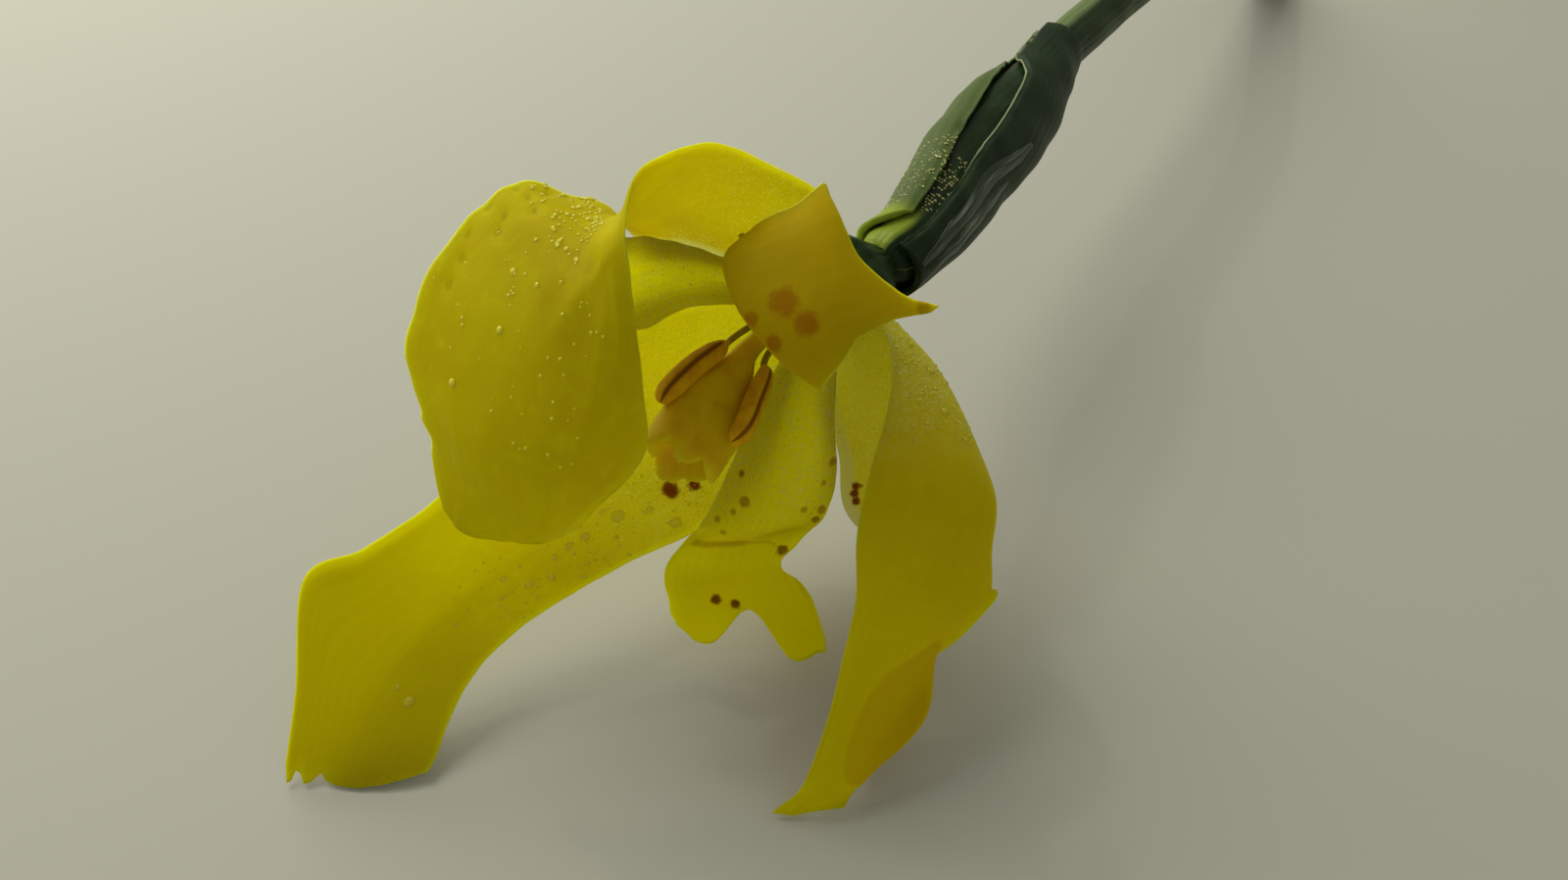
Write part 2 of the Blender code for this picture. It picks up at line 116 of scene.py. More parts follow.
INNER_LEFT = (165, 34, (
    ((-2, -3, 2), (-2.6, -2.7, 1.2), (-2.7, -2.7, 0.6), (-2.6, -2.7, 0.1), (-2.2, -3, -0.4)),
    ((-3.5, -6, 4), (-4.5, -5.5, 3), (-4.5, -5.5, 2), (-4, -5.5, 1.5), (-3, -6, 1)),
    ((-5, -8.5, 6), (-6, -8, 4.5), (-6, -8, 3.5), (-5.5, -8.5, 2.5), (-4.5, -9, 2)),
    ((-6.5, -10.5, 7), (-7.5, -10.5, 5), (-7.5, -11, 3.5), (-7, -11.5, 2.5), (-5.5, -12, 2)),
    ((-7, -12, 7.5), (-8, -12.5, 6), (-8, -13, 4), (-7.5, -13.5, 3), (-6.5, -14, 2.5)),
    ((-8.5, -12.5, 7), (-9, -13.5, 5.5), (-9, -14, 4), (-8.5, -15, 3), (-7.5, -15, 2)),
    ((-9.5, -12, 7), (-10.5, -13.5, 5.5), (-10, -14.5, 3.5), (-9.5, -15.5, 2), (-7.5, -15.5, 0.5)),
    ((-11, -11.5, 7), (-12, -13, 5.5), (-10.5, -14, 3.5), (-10, -16, 1), (-8, -16.5, 0)),
))

# Style: centre line, radius and three-sidedness of each row, and the three corners in degrees
STYLE = (
    ((0, -0.35, 0), 0.5, 0.0),
    ((-0.6, -3.5, -0.1), 0.55, 0.0),
    ((-1.3, -7.3, -0.8), 0.65, 0.1),
    ((-1.1, -9.4, -1.3), 1.1, 0.15),
    ((-1, -11.5, -1.8), 1.6, 0.18),
    ((-0.8, -13.2, -2.3), 2, 0.18),
    ((-0.7, -14.6, -2.7), 2.05, 0.15),
)
STYLE_CORNERS = (118, -2, 238)
STYLE_FURROWS = (radians(178), radians(298))
STYLE_FACE = radians(58)

# Crests: angle round the style and height; then the notch between two crests
CRESTS = ((-62, 1.3), (-2, 1.45), (58, 1.75), (118, 1.8), (178, 1.3), (238, 1.5), (298, 1.3))
CREST_NOTCH = 0.65
# The crown's rings from outside to inside: share of the style's radius, rise, and share of the crest's height
CROWN = (
    (1.0, 0.1, 0.3),
    (0.99, 0.15, 0.65),
    (0.96, 0.15, 0.95),
    (0.93, 0.16, 1.0),
    (0.88, 0.12, 0.97),
    (0.8, 0.08, 0.7),
    (0.66, 0.02, 0.35),
    (0.45, -0.1, 0.1),
    (0.2, -0.2, 0.0),
)

# Stamens: one a corner; places along one are counted in half rows of the style
STAMENS = ("stamen_left", "stamen_right", "stamen_under")
ANTHER_TURNS = (0, 20, 0)
SLIT_ANGLES = (-52, 48, 180)
ANTHER_START = 4.8
ANTHER_LENGTH = 6.5
FILAMENT_STEPS = 24
ANTHER_STEPS = 70
FILAMENT_TWIST = radians(14)
FILAMENT_RADIUS = 0.2
ANTHER_RADIUS = 0.76
ANTHER_GAP = 0.12
SLIT_DEPTH = 0.24

# Stem: centre line from the spathe to the cut end, neck inside the spathe, and cap as share and rise
STEM = (
    (-2.1, 37, -0.9),
    (-2.1, 43, -1.1),
    (-2.2, 50, -1.4),
    (-2.2, 58, -2.3),
    (-2.1, 67, -4.7),
    (-2, 76, -8),
    (-1.8, 85, -11.8),
    (-1.6, 94, -15.55),
)
STEM_RADIUS = 1.95
STEM_RIDGE_ANGLE = radians(75)
NECK_RADIUS = 1.1
NECK_LENGTH = 1.6
STEM_CAP = ((0.98, 0.05), (0.9, 0.03), (0.5, -0.06))

# Spathe: centre line, half width, half depth and the two margins of the outer bract in degrees
SPATHE = (
    ((1.6, 3.4, 0.3), 2.5, 2, 92, 58),
    ((1.9, 6.4, 0.2), 2.5, 2, 94, 60),
    ((1.4, 11.3, 0), 3, 2.25, 96, 62),
    ((0.6, 15.7, -0.1), 3.3, 2.45, 100, 63),
    ((0.2, 19.5, -0.2), 3.5, 2.6, 106, 65),
    ((-0.2, 23.6, -0.3), 3.5, 2.55, 115, 73),
    ((-0.5, 27.6, -0.5), 3.15, 2.4, 128, 92),
    ((-0.9, 30.6, -0.6), 2.65, 2.2, 146, 134),
    ((-1.5, 33.8, -0.7), 2.25, 2.1, 146, 132),
    ((-2.1, 36.6, -0.8), 2.1, 2, 146, 130),
)
SPATHE_WIDE_ANGLE = radians(149)
INNER_INSET = 0.42
# The inner bract's cap, as share of the first ring and rise
INNER_CAP = ((0.05, 1.6), (0.6, 1.2))
# Rows that the outer bract's mouth is cut back by, by place across, and that its foot reaches over the stem
MOUTH = ((0, 0.9), (0.12, 0.35), (0.45, 0.1), (0.8, 0), (1, 0.15))
FOOT = 0.17
# Folds of skin on the outer bract: name, rows, places across, width and seed
MEMBRANES = (
    ("membrane_upper", (0.2, 1.2, 2.4, 4.4), (0.84, 0.88, 0.89, 0.82), 0.036, 91),
    ("membrane_lower", (0.0, 1.0, 2.2, 3.2), (0.76, 0.8, 0.82, 0.8), 0.026, 92),
)

# Ovary: distance along its axis and radius; its axis; and the seat as share of the radius and reach forward
OVARY = ((0.65, 3.2), (1.1, 3.0), (1.8, 2.5), (2.6, 1.7), (3.4, 1.15), (4.4, 1.0))
OVARY_AXIS = (0.42, 1, 0.07)
OVARY_SEAT = ((0.5, 0.95), (0.88, 0.9), (0.97, 0.55))

# Tips: rows added by place across. Margins: share of the width added by row
TOP_CRINKLE = (
    (9.2, 0), (9.8, 0.025), (10.15, -0.02), (10.3, -0.045), (10.5, -0.02), (10.7, -0.045), (11.1, 0),
)
LEFT_TIP = (
    (0, 0.12), (0.03, 0.34), (0.07, 0.3), (0.1, 0.14), (0.15, 0.16), (0.2, 0.3), (0.26, 0.26), (0.31, 0.1),
    (0.34, 0.02), (0.39, 0.14), (0.5, 0.2), (0.65, 0.2), (0.8, 0.05), (0.9, -0.2), (1, -0.65),
)
RIGHT_RUFFLE = ((4.2, 0), (4.8, 0.04), (5.3, -0.03), (5.8, 0.05), (6.3, 0))
BOTTOM_TIP = (
    (0, -0.3), (0.1, 0), (0.3, 0.05), (0.6, 0), (0.75, -0.02), (0.9, -0.06), (0.95, -0.28), (1, -0.85),
)
BOTTOM_EAR = ((6.4, 0), (7.2, 0.075), (8, 0.19))
UPPER_TIP = ((0, 0.12), (0.04, 0.17), (0.15, 0.02), (0.5, -0.18), (0.85, 0.02), (0.95, 0.17), (1, 0.24))
UPPER_PINCH = ((3.6, 0), (4.6, -0.08), (5.6, -0.17), (6.4, -0.1), (7, 0.03))

# Marks on the top tepal: pits (place across, row), and the fold's place across by row
TOP_PITS = (
    (0.018, 7.6), (0.073, 7.47), (0.018, 7.13), (0.064, 7.0), (0.046, 6.6),
    (0.028, 8.0), (0.055, 8.27), (0.092, 7.67), (0.064, 8.6), (0.119, 7.0),
)
TOP_FOLD = ((5.8, 0.88), (6.3, 0.66), (6.8, 0.52), (7.4, 0.45), (8.2, 0.4))

# Drops of water: place across, row and radius in mm
DROPS = {
    "outer_tepal_top": (
        (0.213, 5.85, 0.2), (0.213, 6.77, 0.16), (0.2, 7.2, 0.15), (0.2, 7.77, 0.2),
        (0.29, 7.6, 0.16), (0.26, 8.5, 0.22), (0.19, 9.5, 0.24),
    ),
    "outer_tepal_left": (
        (0.687, 3.44, 0.42), (0.9, 3.2, 0.36), (0.771, 3.15, 0.24), (0.614, 3.5, 0.2), (0.651, 3.75, 0.3),
        (0.627, 3.94, 0.26), (0.627, 4.125, 0.2), (0.819, 4.125, 0.2), (0.771, 4.44, 0.24),
        (0.711, 4.56, 0.26), (0.566, 4.62, 0.2), (0.687, 4.87, 0.18), (0.614, 5.44, 0.16),
        (0.711, 6.87, 0.36), (0.6, 6.62, 0.2),
    ),
    "outer_tepal_right": (
        (0.152, 1.71, 0.2), (0.182, 2.21, 0.24), (0.111, 2.79, 0.2),
        (0.192, 2.93, 0.22), (0.06, 2.14, 0.16), (0.273, 3.43, 0.18),
    ),
}
# Small drops: how many, from and to across, from and to row, smallest and largest radius
FINE_DROPS = {
    "outer_tepal_top": ((110, 0.0, 0.4, 5.2, 6.9, 0.07, 0.16), (60, 0.03, 0.7, 6.9, 9.5, 0.06, 0.13)),
    "outer_tepal_left": ((150, 0.35, 0.95, 2.6, 5.2, 0.06, 0.14), (130, 0.1, 0.95, 0.6, 2.8, 0.035, 0.065)),
    "outer_tepal_right": ((110, 0.04, 0.35, 1.2, 3.6, 0.06, 0.14), (90, 0.6, 0.97, 0.8, 3.4, 0.035, 0.065)),
    "inner_tepal_left": ((170, 0.2, 0.9, 0.6, 6.0, 0.035, 0.06),),
    "inner_tepal_bottom": ((90, 0.1, 0.9, 0.8, 4.0, 0.035, 0.06),),
    "spathe_outer_bract": ((190, 0.0, 0.2, 0.8, 2.7, 0.05, 0.11), (90, 0.12, 0.3, 1.2, 4.6, 0.05, 0.1)),
    "spathe_inner_bract": ((110, 0.17, 0.3, 1.3, 2.7, 0.06, 0.14),),
}
# From the points that a piece is built on to its face: half a blade; half a bract; a little under the face
BLADE_LIFT = 0.09
DROP_LIFTS = {"spathe_outer_bract": 0.19, "spathe_inner_bract": -0.02}
DROP_HEIGHT = 0.7
DROP_ROOT = 0.02
LARGE_DROP = 0.15

# Colours of the tepals
BLADE = (0.56, 0.45, 0.0008)
BLADE_DEEP = (0.5, 0.37, 0.0008)
BLADE_BRIGHT = (0.63, 0.54, 0.001)
# Painted shade: darker yellow over the left tepal's blade towards its tip and in the top tepal's pits
BLADE_SHADE = (0.36, 0.28, 0.0005)
# Painted shade: a deeper orange where light must cross two layers of tissue
BLADE_ORANGE_SHADE = (0.5, 0.29, 0.0006)
CLAW_PALE = (0.7, 0.66, 0.06)
HYALINE = (0.78, 0.77, 0.48)
GREEN_RIM = (0.5, 0.58, 0.02)
# Painted light: brighter colours laid over tepals that lie in shade
LIT_YELLOW = (0.98, 0.81, 0.0015)
LIT_GOLD = (0.98, 0.8, 0.002)
LIT_ORANGE = (0.8, 0.55, 0.0008)
RED_BROWN = (0.24, 0.035, 0.003)
DULL_BROWN = (0.2, 0.06, 0.001)
RUST = (0.34, 0.11, 0.0006)
# Painted glints: pale specks for the sparkle of the wet papillae on the claws and in frothy zones
PAINTED_GLINT = (0.85, 0.8, 0.2)

# Colours of the style and the stamens
STYLE_GOLD = (0.9, 0.7, 0.003)
STYLE_ORANGE = (0.8, 0.56, 0.002)
STYLE_FLECK = (0.9, 0.62, 0.01)
CREST_GOLD = (0.95, 0.72, 0.006)
ANTHER_ORANGE = (0.95, 0.56, 0.003)
ANTHER_DEEP = (0.78, 0.42, 0.003)
POLLEN = (0.9, 0.58, 0.01)
SLIT_BROWN = (0.33, 0.13, 0.004)
FILAMENT_OLIVE = (0.4, 0.33, 0.01)

# Colours of the green parts: dark and pale tissue, then painted light on the sides that face the lamp, the
# margin, the pith and the skin
OUTER_GREENS = ((0.006, 0.02, 0.003), (0.016, 0.04, 0.006))
INNER_GREENS = ((0.008, 0.024, 0.004), (0.018, 0.045, 0.007))
OVARY_GREENS = ((0.012, 0.035, 0.005), (0.03, 0.07, 0.01))
STEM_GREENS = ((0.012, 0.03, 0.006), (0.035, 0.07, 0.015))
PAINTED_LIGHT_FACET = (0.13, 0.19, 0.045)
PAINTED_LIGHT_MOUTH = (0.35, 0.45, 0.03)
PAINTED_LIGHT_INNER = (0.33, 0.43, 0.03)
PAINTED_LIGHT_OVARY = (0.3, 0.4, 0.03)
PAINTED_LIGHT_STEM = (0.2, 0.27, 0.09)
MARGIN_PALE = (0.5, 0.55, 0.3)
PITH = (0.42, 0.5, 0.22)
SKIN_DARK = (0.012, 0.03, 0.006)
SKIN_PALE = (0.26, 0.3, 0.2)

# Tint and clearness of the drops on the top tepal, on the other tepals and on the spathe
# The tints are painted light: the glow of the lit tissue under the drops, and a pale sparkle on the spathe
DEW_IN_LIGHT = ((0.97, 0.9, 0.05), 0.12)
DEW_ON_TEPALS = ((1.0, 0.92, 0.05), 0.6)
DEW_ON_SPATHE = ((0.93, 0.9, 0.35), 0.5)

# Floor: half its width and how far it lies below zero, in metres. Lamps: azimuth and elevation in degrees,
# distance and size in metres, and power
FLOOR_HALF = 0.6
FLOOR_BELOW = 0.0001
WINDOW = (264, 44, 0.26, 0.26, 0.5)
GLINT = (255, 50, 0.35, 0.018, 0.05)
SKY_STRENGTH = 0.25
FLOOR_GREY = (0.62, 0.62, 0.5)
SKY = (1.0, 0.99, 0.93)
DAYLIGHT = (1.0, 0.98, 0.93)

# Looks of each tepal, with marks laid out as petal_material says
TOP_LOOK = dict(
    pale=0.15, glitter=0.5, vein_strength=0.2,
    spots=(((-3.84, -4.21, 4.59), 0.32, 0.8, DULL_BROWN),),
    pale_margins=((0, 2.5, 2.2, 0.13, 0.85),),
    # The pits are painted with shade, as well as sunk in the relief
    patches=tuple((pit, (0.016, 0.1), 0.7, 0.6, BLADE_SHADE) for pit in TOP_PITS),
    # Zones with more specks of painted glint
    froth=(((0.05, 6.2), (0.1, 0.9), 0.25), ((0.1, 2.6), (0.22, 1.4), 0.8)),
)
LEFT_LOOK = dict(
    # Painted shade over the blade towards its tip
    shade=(4.6, 6.2, 1.0), glitter=1.0,
    spots=(((-3.86, -12.56, -9.56), 0.75, 1.0, RED_BROWN), ((-3.14, -11.08, -9.87), 0.62, 1.0, RED_BROWN)),
)
RIGHT_LOOK = dict(
    # Painted light: a brighter orange over the whole tepal, which lies in shade
    tint=(LIT_ORANGE, 0.6), glitter=0.8,
    spots=(
        ((6.05, -6.8, -8.7), 0.34, 1.0, RED_BROWN), ((6.2, -7.15, -8.95), 0.38, 1.0, RED_BROWN),
        ((6.5, -7.5, -9.15), 0.36, 1.0, RED_BROWN), ((6.3, -6.6, -8.75), 0.26, 0.9, RED_BROWN),
    ),
    # Painted shade where the curled half of the blade lies behind the near half
    patches=(((0.65, 8.0), (0.43, 1.1), 0.1, 0.6, BLADE_ORANGE_SHADE),),
    pale_margins=((1, 2.8, 2.8, 0.07, 0.95), (1, 2.6, 2.4, 0.3, 0.12)),
)
BOTTOM_LOOK = dict(
    # Painted light: a brighter gold over the whole tepal, which lies in shade
    tint=(LIT_GOLD, 0.9), pale=0.15, glitter=0.95,
    spots=(
        ((-0.21, -10.0, -8.3), 0.32, 0.8, DULL_BROWN), ((0.57, -10.86, -9.62), 0.5, 0.7, RUST),
        ((0.4, -11.9, -9.69), 0.28, 0.6, RUST), ((0.02, -13.03, -9.62), 0.3, 0.6, RUST),
        ((0.71, -13.41, -10.02), 0.3, 0.6, RUST), ((4.49, -6.97, -7.29), 0.4, 0.75, RUST),
        ((4.45, -8.01, -8.3), 0.28, 0.6, RUST), ((4.04, -9.58, -9.48), 0.35, 0.6, RUST),
        ((5.17, -9.37, -9.05), 0.4, 0.75, RUST), ((5.14, -9.99, -9.38), 0.35, 0.8, DULL_BROWN),
        ((4.55, -12.77, -10.02), 0.5, 0.9, DULL_BROWN), ((2.23, -16.53, -12.28), 0.45, 1.0, DULL_BROWN),
        ((3.24, -15.94, -12.65), 0.42, 1.0, DULL_BROWN),
    ),
    # Painted light: a brighter orange over the blade that folds back
    patches=(((0.5, 8.2), (1.2, 2.6), 0.3, 0.8, LIT_ORANGE),),
    # Painted shade: a dark line along the knee's crease, where the blade folds back under the claw
    strokes=(
        ((0.08, 4.98), (0.5, 4.93), 0.22, 0.5, DULL_BROWN),
        ((0.5, 4.95), (0.8, 5.3), 0.1, 0.25, DULL_BROWN),
    ),
)
UPPER_LOOK = dict(
    # Painted shade: a deeper orange over the whole tepal, which light reaches through two layers
    tint=(BLADE_ORANGE_SHADE, 0.75), spot_crisp=0.35, vein_strength=0.05, relief=0.3,
    spots=(
        ((5.01, -13.28, 8.95), 1.05, 0.8, RUST), ((6.52, -13.5, 8.35), 0.85, 0.85, RUST),
        ((5.22, -14.6, 7.19), 0.65, 0.85, RUST), ((3.64, -14.29, 7.9), 0.6, 0.75, RUST),
        ((9.9, -7.1, 6.7), 0.7, 0.6, DULL_BROWN),
    ),
)
# Painted light: a brighter yellow over the whole tepal, which lies in shade
INNER_LEFT_LOOK = dict(tint=(LIT_YELLOW, 0.95), pale=0.1, glitter=0.8)

# Soft light inside the tissue: how far red, green and blue reach in mm
BLADE_GLOW = (2.0, 1.9, 0.2)
STYLE_GLOW = (1.3, 0.95, 0.1)
ANTHER_GLOW = (0.7, 0.45, 0.08)
LEAF_GLOW = (0.25, 0.45, 0.1)
SKIN_GLOW = (0.5, 0.5, 0.4)

# Main veins across a tepal, and fine veins to a main one
VEINS = 15
FINE_VEINS = 3.1

# Relief of a blade in mm: broad ripples, crinkles near the margins, and low ribs across it
RIPPLE_WAVES = 14
RIPPLE_HEIGHT = 0.04
RIPPLE_LENGTH = 5.0
CRINKLE_LENGTH = 2.6
CRINKLE_REACH = 1.3
RIBS = 9
RIB_HEIGHT = 0.008

# Thickness: share that is left at a blade's margin and how far in it grows, in mm; the least of a blade; the
# outer bract's margin, its growth to the middle and the share of its width that this takes; the skin
MARGIN_SHARE = 0.35
MARGIN_WIDTH = 0.9
LEAST_THICKNESS = 0.1
BRACT_EDGE = 0.16
BRACT_GROWTH = 0.26
BRACT_MARGIN = 0.06
SKIN_THICKNESS = 0.08

# Height of the skin over the bract's points, its bulge in the middle and its curl at the sides, in mm
SKIN_LIFT = 0.17
SKIN_BULGE = 0.1
SKIN_CURL = 0.08


# Surfaces


def spline_weights(x, count):
    """The index of the first of the four points that a smooth curve weighs at x, and their weights."""
    index = np.clip(np.floor(x).astype(int), 0, count - 2)
    f = x - index
    weights = (-f + 2 * f**2 - f**3, 2 - 5 * f**2 + 3 * f**3, f + 4 * f**2 - 3 * f**3, f**3 - f**2)
    return index, [0.5 * w for w in weights]


def pad(points, axis):
    """The points with one more at each end, in line with the last two."""
    points = np.moveaxis(np.asarray(points, float), axis, 0)
    padded = np.concatenate([[2 * points[0] - points[1]], points, [2 * points[-1] - points[-2]]])
    return np.moveaxis(padded, 0, axis)


def on_curve(points, x):
    """Points of the smooth curve through the given ones, at indices x."""
    points = np.asarray(points, float)
    index, weights = spline_weights(np.asarray(x, float), len(points))
    padded = pad(points, 0)
    shape = (-1,) + (1,) * (points.ndim - 1)
    return sum(w.reshape(shape) * padded[index + k] for k, w in enumerate(weights))


def on_net(net, s, t):
    """Points of the smooth surface through a net, at row indices s and column indices t."""
    rows, columns = net.shape[:2]
    i, along = spline_weights(s, rows)
    j, across = spline_weights(t, columns)
    padded = pad(pad(net, 0), 1)
    total = 0
    for a, wa in enumerate(along):
        for b, wb in enumerate(across):
            total = total + (wa * wb)[..., None] * padded[i + a, j + b]
    return total


def on_pairs(pairs, x):
    """The value at x, on straight lines between (x, value) pairs; 0 where none are given."""
    if not pairs:
        return np.zeros_like(x)
    return np.interp(x, *zip(*pairs))


def tepal_net(root_angle, root_span, rows, ring):
    angles = np.radians(np.linspace(root_angle - root_span, root_angle + root_span, len(rows[0])))
    root = [(ring * cos(a), 0, ring * sin(a)) for a in angles]
    return np.array([root, *rows], float)


def grid_normals(points):
    normal = np.cross(np.gradient(points, axis=0), np.gradient(points, axis=1))
    return normal / (np.linalg.norm(normal, axis=-1, keepdims=True) + 1e-9)


def ripple(x, y, wavelength, seed):
    """Smooth noise between about -1 and 1: waves of like length in drawn directions."""
    draw = np.random.default_rng(seed)
    total = np.zeros(np.broadcast(x, y).shape)
    for _ in range(RIPPLE_WAVES):
        turn = draw.uniform(0, TURN)
        phase = draw.uniform(0, TURN)
        stretch = draw.uniform(0.7, 1.4)
        k = TURN / (wavelength * stretch)
        total += np.cos(k * (cos(turn) * x + sin(turn) * y) + phase)
    return total / sqrt(RIPPLE_WAVES)


def bell(x, centre, width):
    return np.exp(-(((x - centre) / width) ** 2))


def ramp(x, low, high):
    f = np.clip((x - low) / (high - low), 0, 1)
    return f * f * (3 - 2 * f)


def cross_frame(tangent):
    """The two directions across a line: the one near X and the one near Z."""
    tangent = tangent / np.linalg.norm(tangent)
    side = np.array((1.0, 0, 0)) - tangent * tangent[0]
    side = side / np.linalg.norm(side)
    upward = np.cross(side, tangent)
    return side, upward if upward[2] > 0 else -upward


def round_angles(sides):
    return np.linspace(0, TURN, sides, endpoint=False)


def turned(angles, centre):
    """Angles as seen from a centre angle, from minus pi to pi."""
    return (angles - centre + pi) % TURN - pi


def swept(centres, sides, reach):
    """Rings of points round a line, at the distance reach(ring, angles)."""
    angles = round_angles(sides)
    rings = []
    for i, (centre, direction) in enumerate(zip(centres, np.gradient(centres, axis=0))):
        side, upward = cross_frame(direction)
        outward = np.cos(angles)[:, None] * side + np.sin(angles)[:, None] * upward
        rings.append(centre + np.asarray(reach(i, angles))[:, None] * outward)
    return np.array(rings)


# Meshes


def add_object(name, data):
    obj = bpy.data.objects.new(name, data)
    bpy.context.scene.collection.objects.link(obj)
    return obj


def add_mesh(name, vertices, faces, material, uv=None):
    """A mesh from points in mm measured from the flower's base, with one UV pair a vertex."""
    mesh = bpy.data.meshes.new(name)
    world = (np.asarray(vertices, float) + BASE) * MM
    mesh.from_pydata(world.tolist(), [], [tuple(int(i) for i in f) for f in faces])
    mesh.update()
    if uv is not None:
        layer = mesh.uv_layers.new(name="UVMap")
        corner_vertices = np.zeros(len(mesh.loops), int)
        mesh.loops.foreach_get("vertex_index", corner_vertices)
        layer.data.foreach_set("uv", np.asarray(uv, float)[corner_vertices].ravel())
    mesh.shade_smooth()
    mesh.materials.append(material)
    obj = add_object(name, mesh)
    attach(obj, BODY)
    return obj


def grid_faces(rows, columns, offset=0, closed=False):
    i = np.arange(rows - 1)[:, None]
    j = np.arange(columns if closed else columns - 1)[None, :]
    k = (j + 1) % columns
    a, b = i * columns + j, i * columns + k
    c, d = (i + 1) * columns + k, (i + 1) * columns + j
    return (np.stack(np.broadcast_arrays(a, b, c, d), -1) + offset).reshape(-1, 4)


def add_sheet(name, middle, thickness, uv, material):
    """A thin closed blade: two faces either side of a grid of points, and a rim."""
    rows, columns = middle.shape[:2]
    normal = grid_normals(middle)
    half = np.broadcast_to(np.asarray(thickness, float), (rows, columns))[..., None] / 2
    front = (middle + normal * half).reshape(-1, 3)
    back = (middle - normal * half).reshape(-1, 3)
    count = rows * columns
    front_faces = grid_faces(rows, columns)
    back_faces = grid_faces(rows, columns, count)[:, ::-1]
    top = np.arange(columns)
    right = np.arange(rows) * columns + columns - 1
    bottom = (rows - 1) * columns + np.arange(columns)[::-1]
    left = (np.arange(rows) * columns)[::-1]
    loop = np.concatenate([top[:-1], right[:-1], bottom[:-1], left[:-1]])
    following = np.roll(loop, -1)
    rim = np.stack([following, loop, loop + count, following + count], -1)
    faces = np.concatenate([front_faces, back_faces, rim])
    flat_uv = np.asarray(uv, float).reshape(-1, 2)
    return add_mesh(name, np.concatenate([front, back]), faces, material, np.concatenate([flat_uv, flat_uv]))


def add_tube(name, rings, material, along):
    """A closed body through rings of points, rounded off with a point at each end; along is each ring's v."""
    rows, columns = rings.shape[:2]
    vertices = np.concatenate([rings.reshape(-1, 3), [rings[0].mean(0), rings[-1].mean(0)]])
    faces = [tuple(f) for f in grid_faces(rows, columns, closed=True)]
    start, end = rows * columns, rows * columns + 1
    last = (rows - 1) * columns
    for j in range(columns):
        k = (j + 1) % columns
        faces += [(k, j, start), (last + j, last + k, end)]
    u = np.linspace(0, 1, columns, endpoint=False)
    uv = np.stack(np.broadcast_arrays(u, np.asarray(along, float)[:, None]), -1).reshape(-1, 2)
    return add_mesh(name, vertices, faces, material, np.concatenate([uv, [uv[0], uv[-1]]]))


# Materials


class Value:
    """A number or colour in a material's node tree. Sums and products of values make nodes."""

    def __init__(self, nodes, socket):
        self.nodes = nodes
        self.socket = socket

    def __add__(self, other):
        return self.nodes.math("ADD", self, other)

    def __radd__(self, other):
        return self.nodes.math("ADD", other, self)

    def __sub__(self, other):
        return self.nodes.math("SUBTRACT", self, other)

    def __rsub__(self, other):
        return self.nodes.math("SUBTRACT", other, self)

    def __mul__(self, other):
        return self.nodes.math("MULTIPLY", self, other)


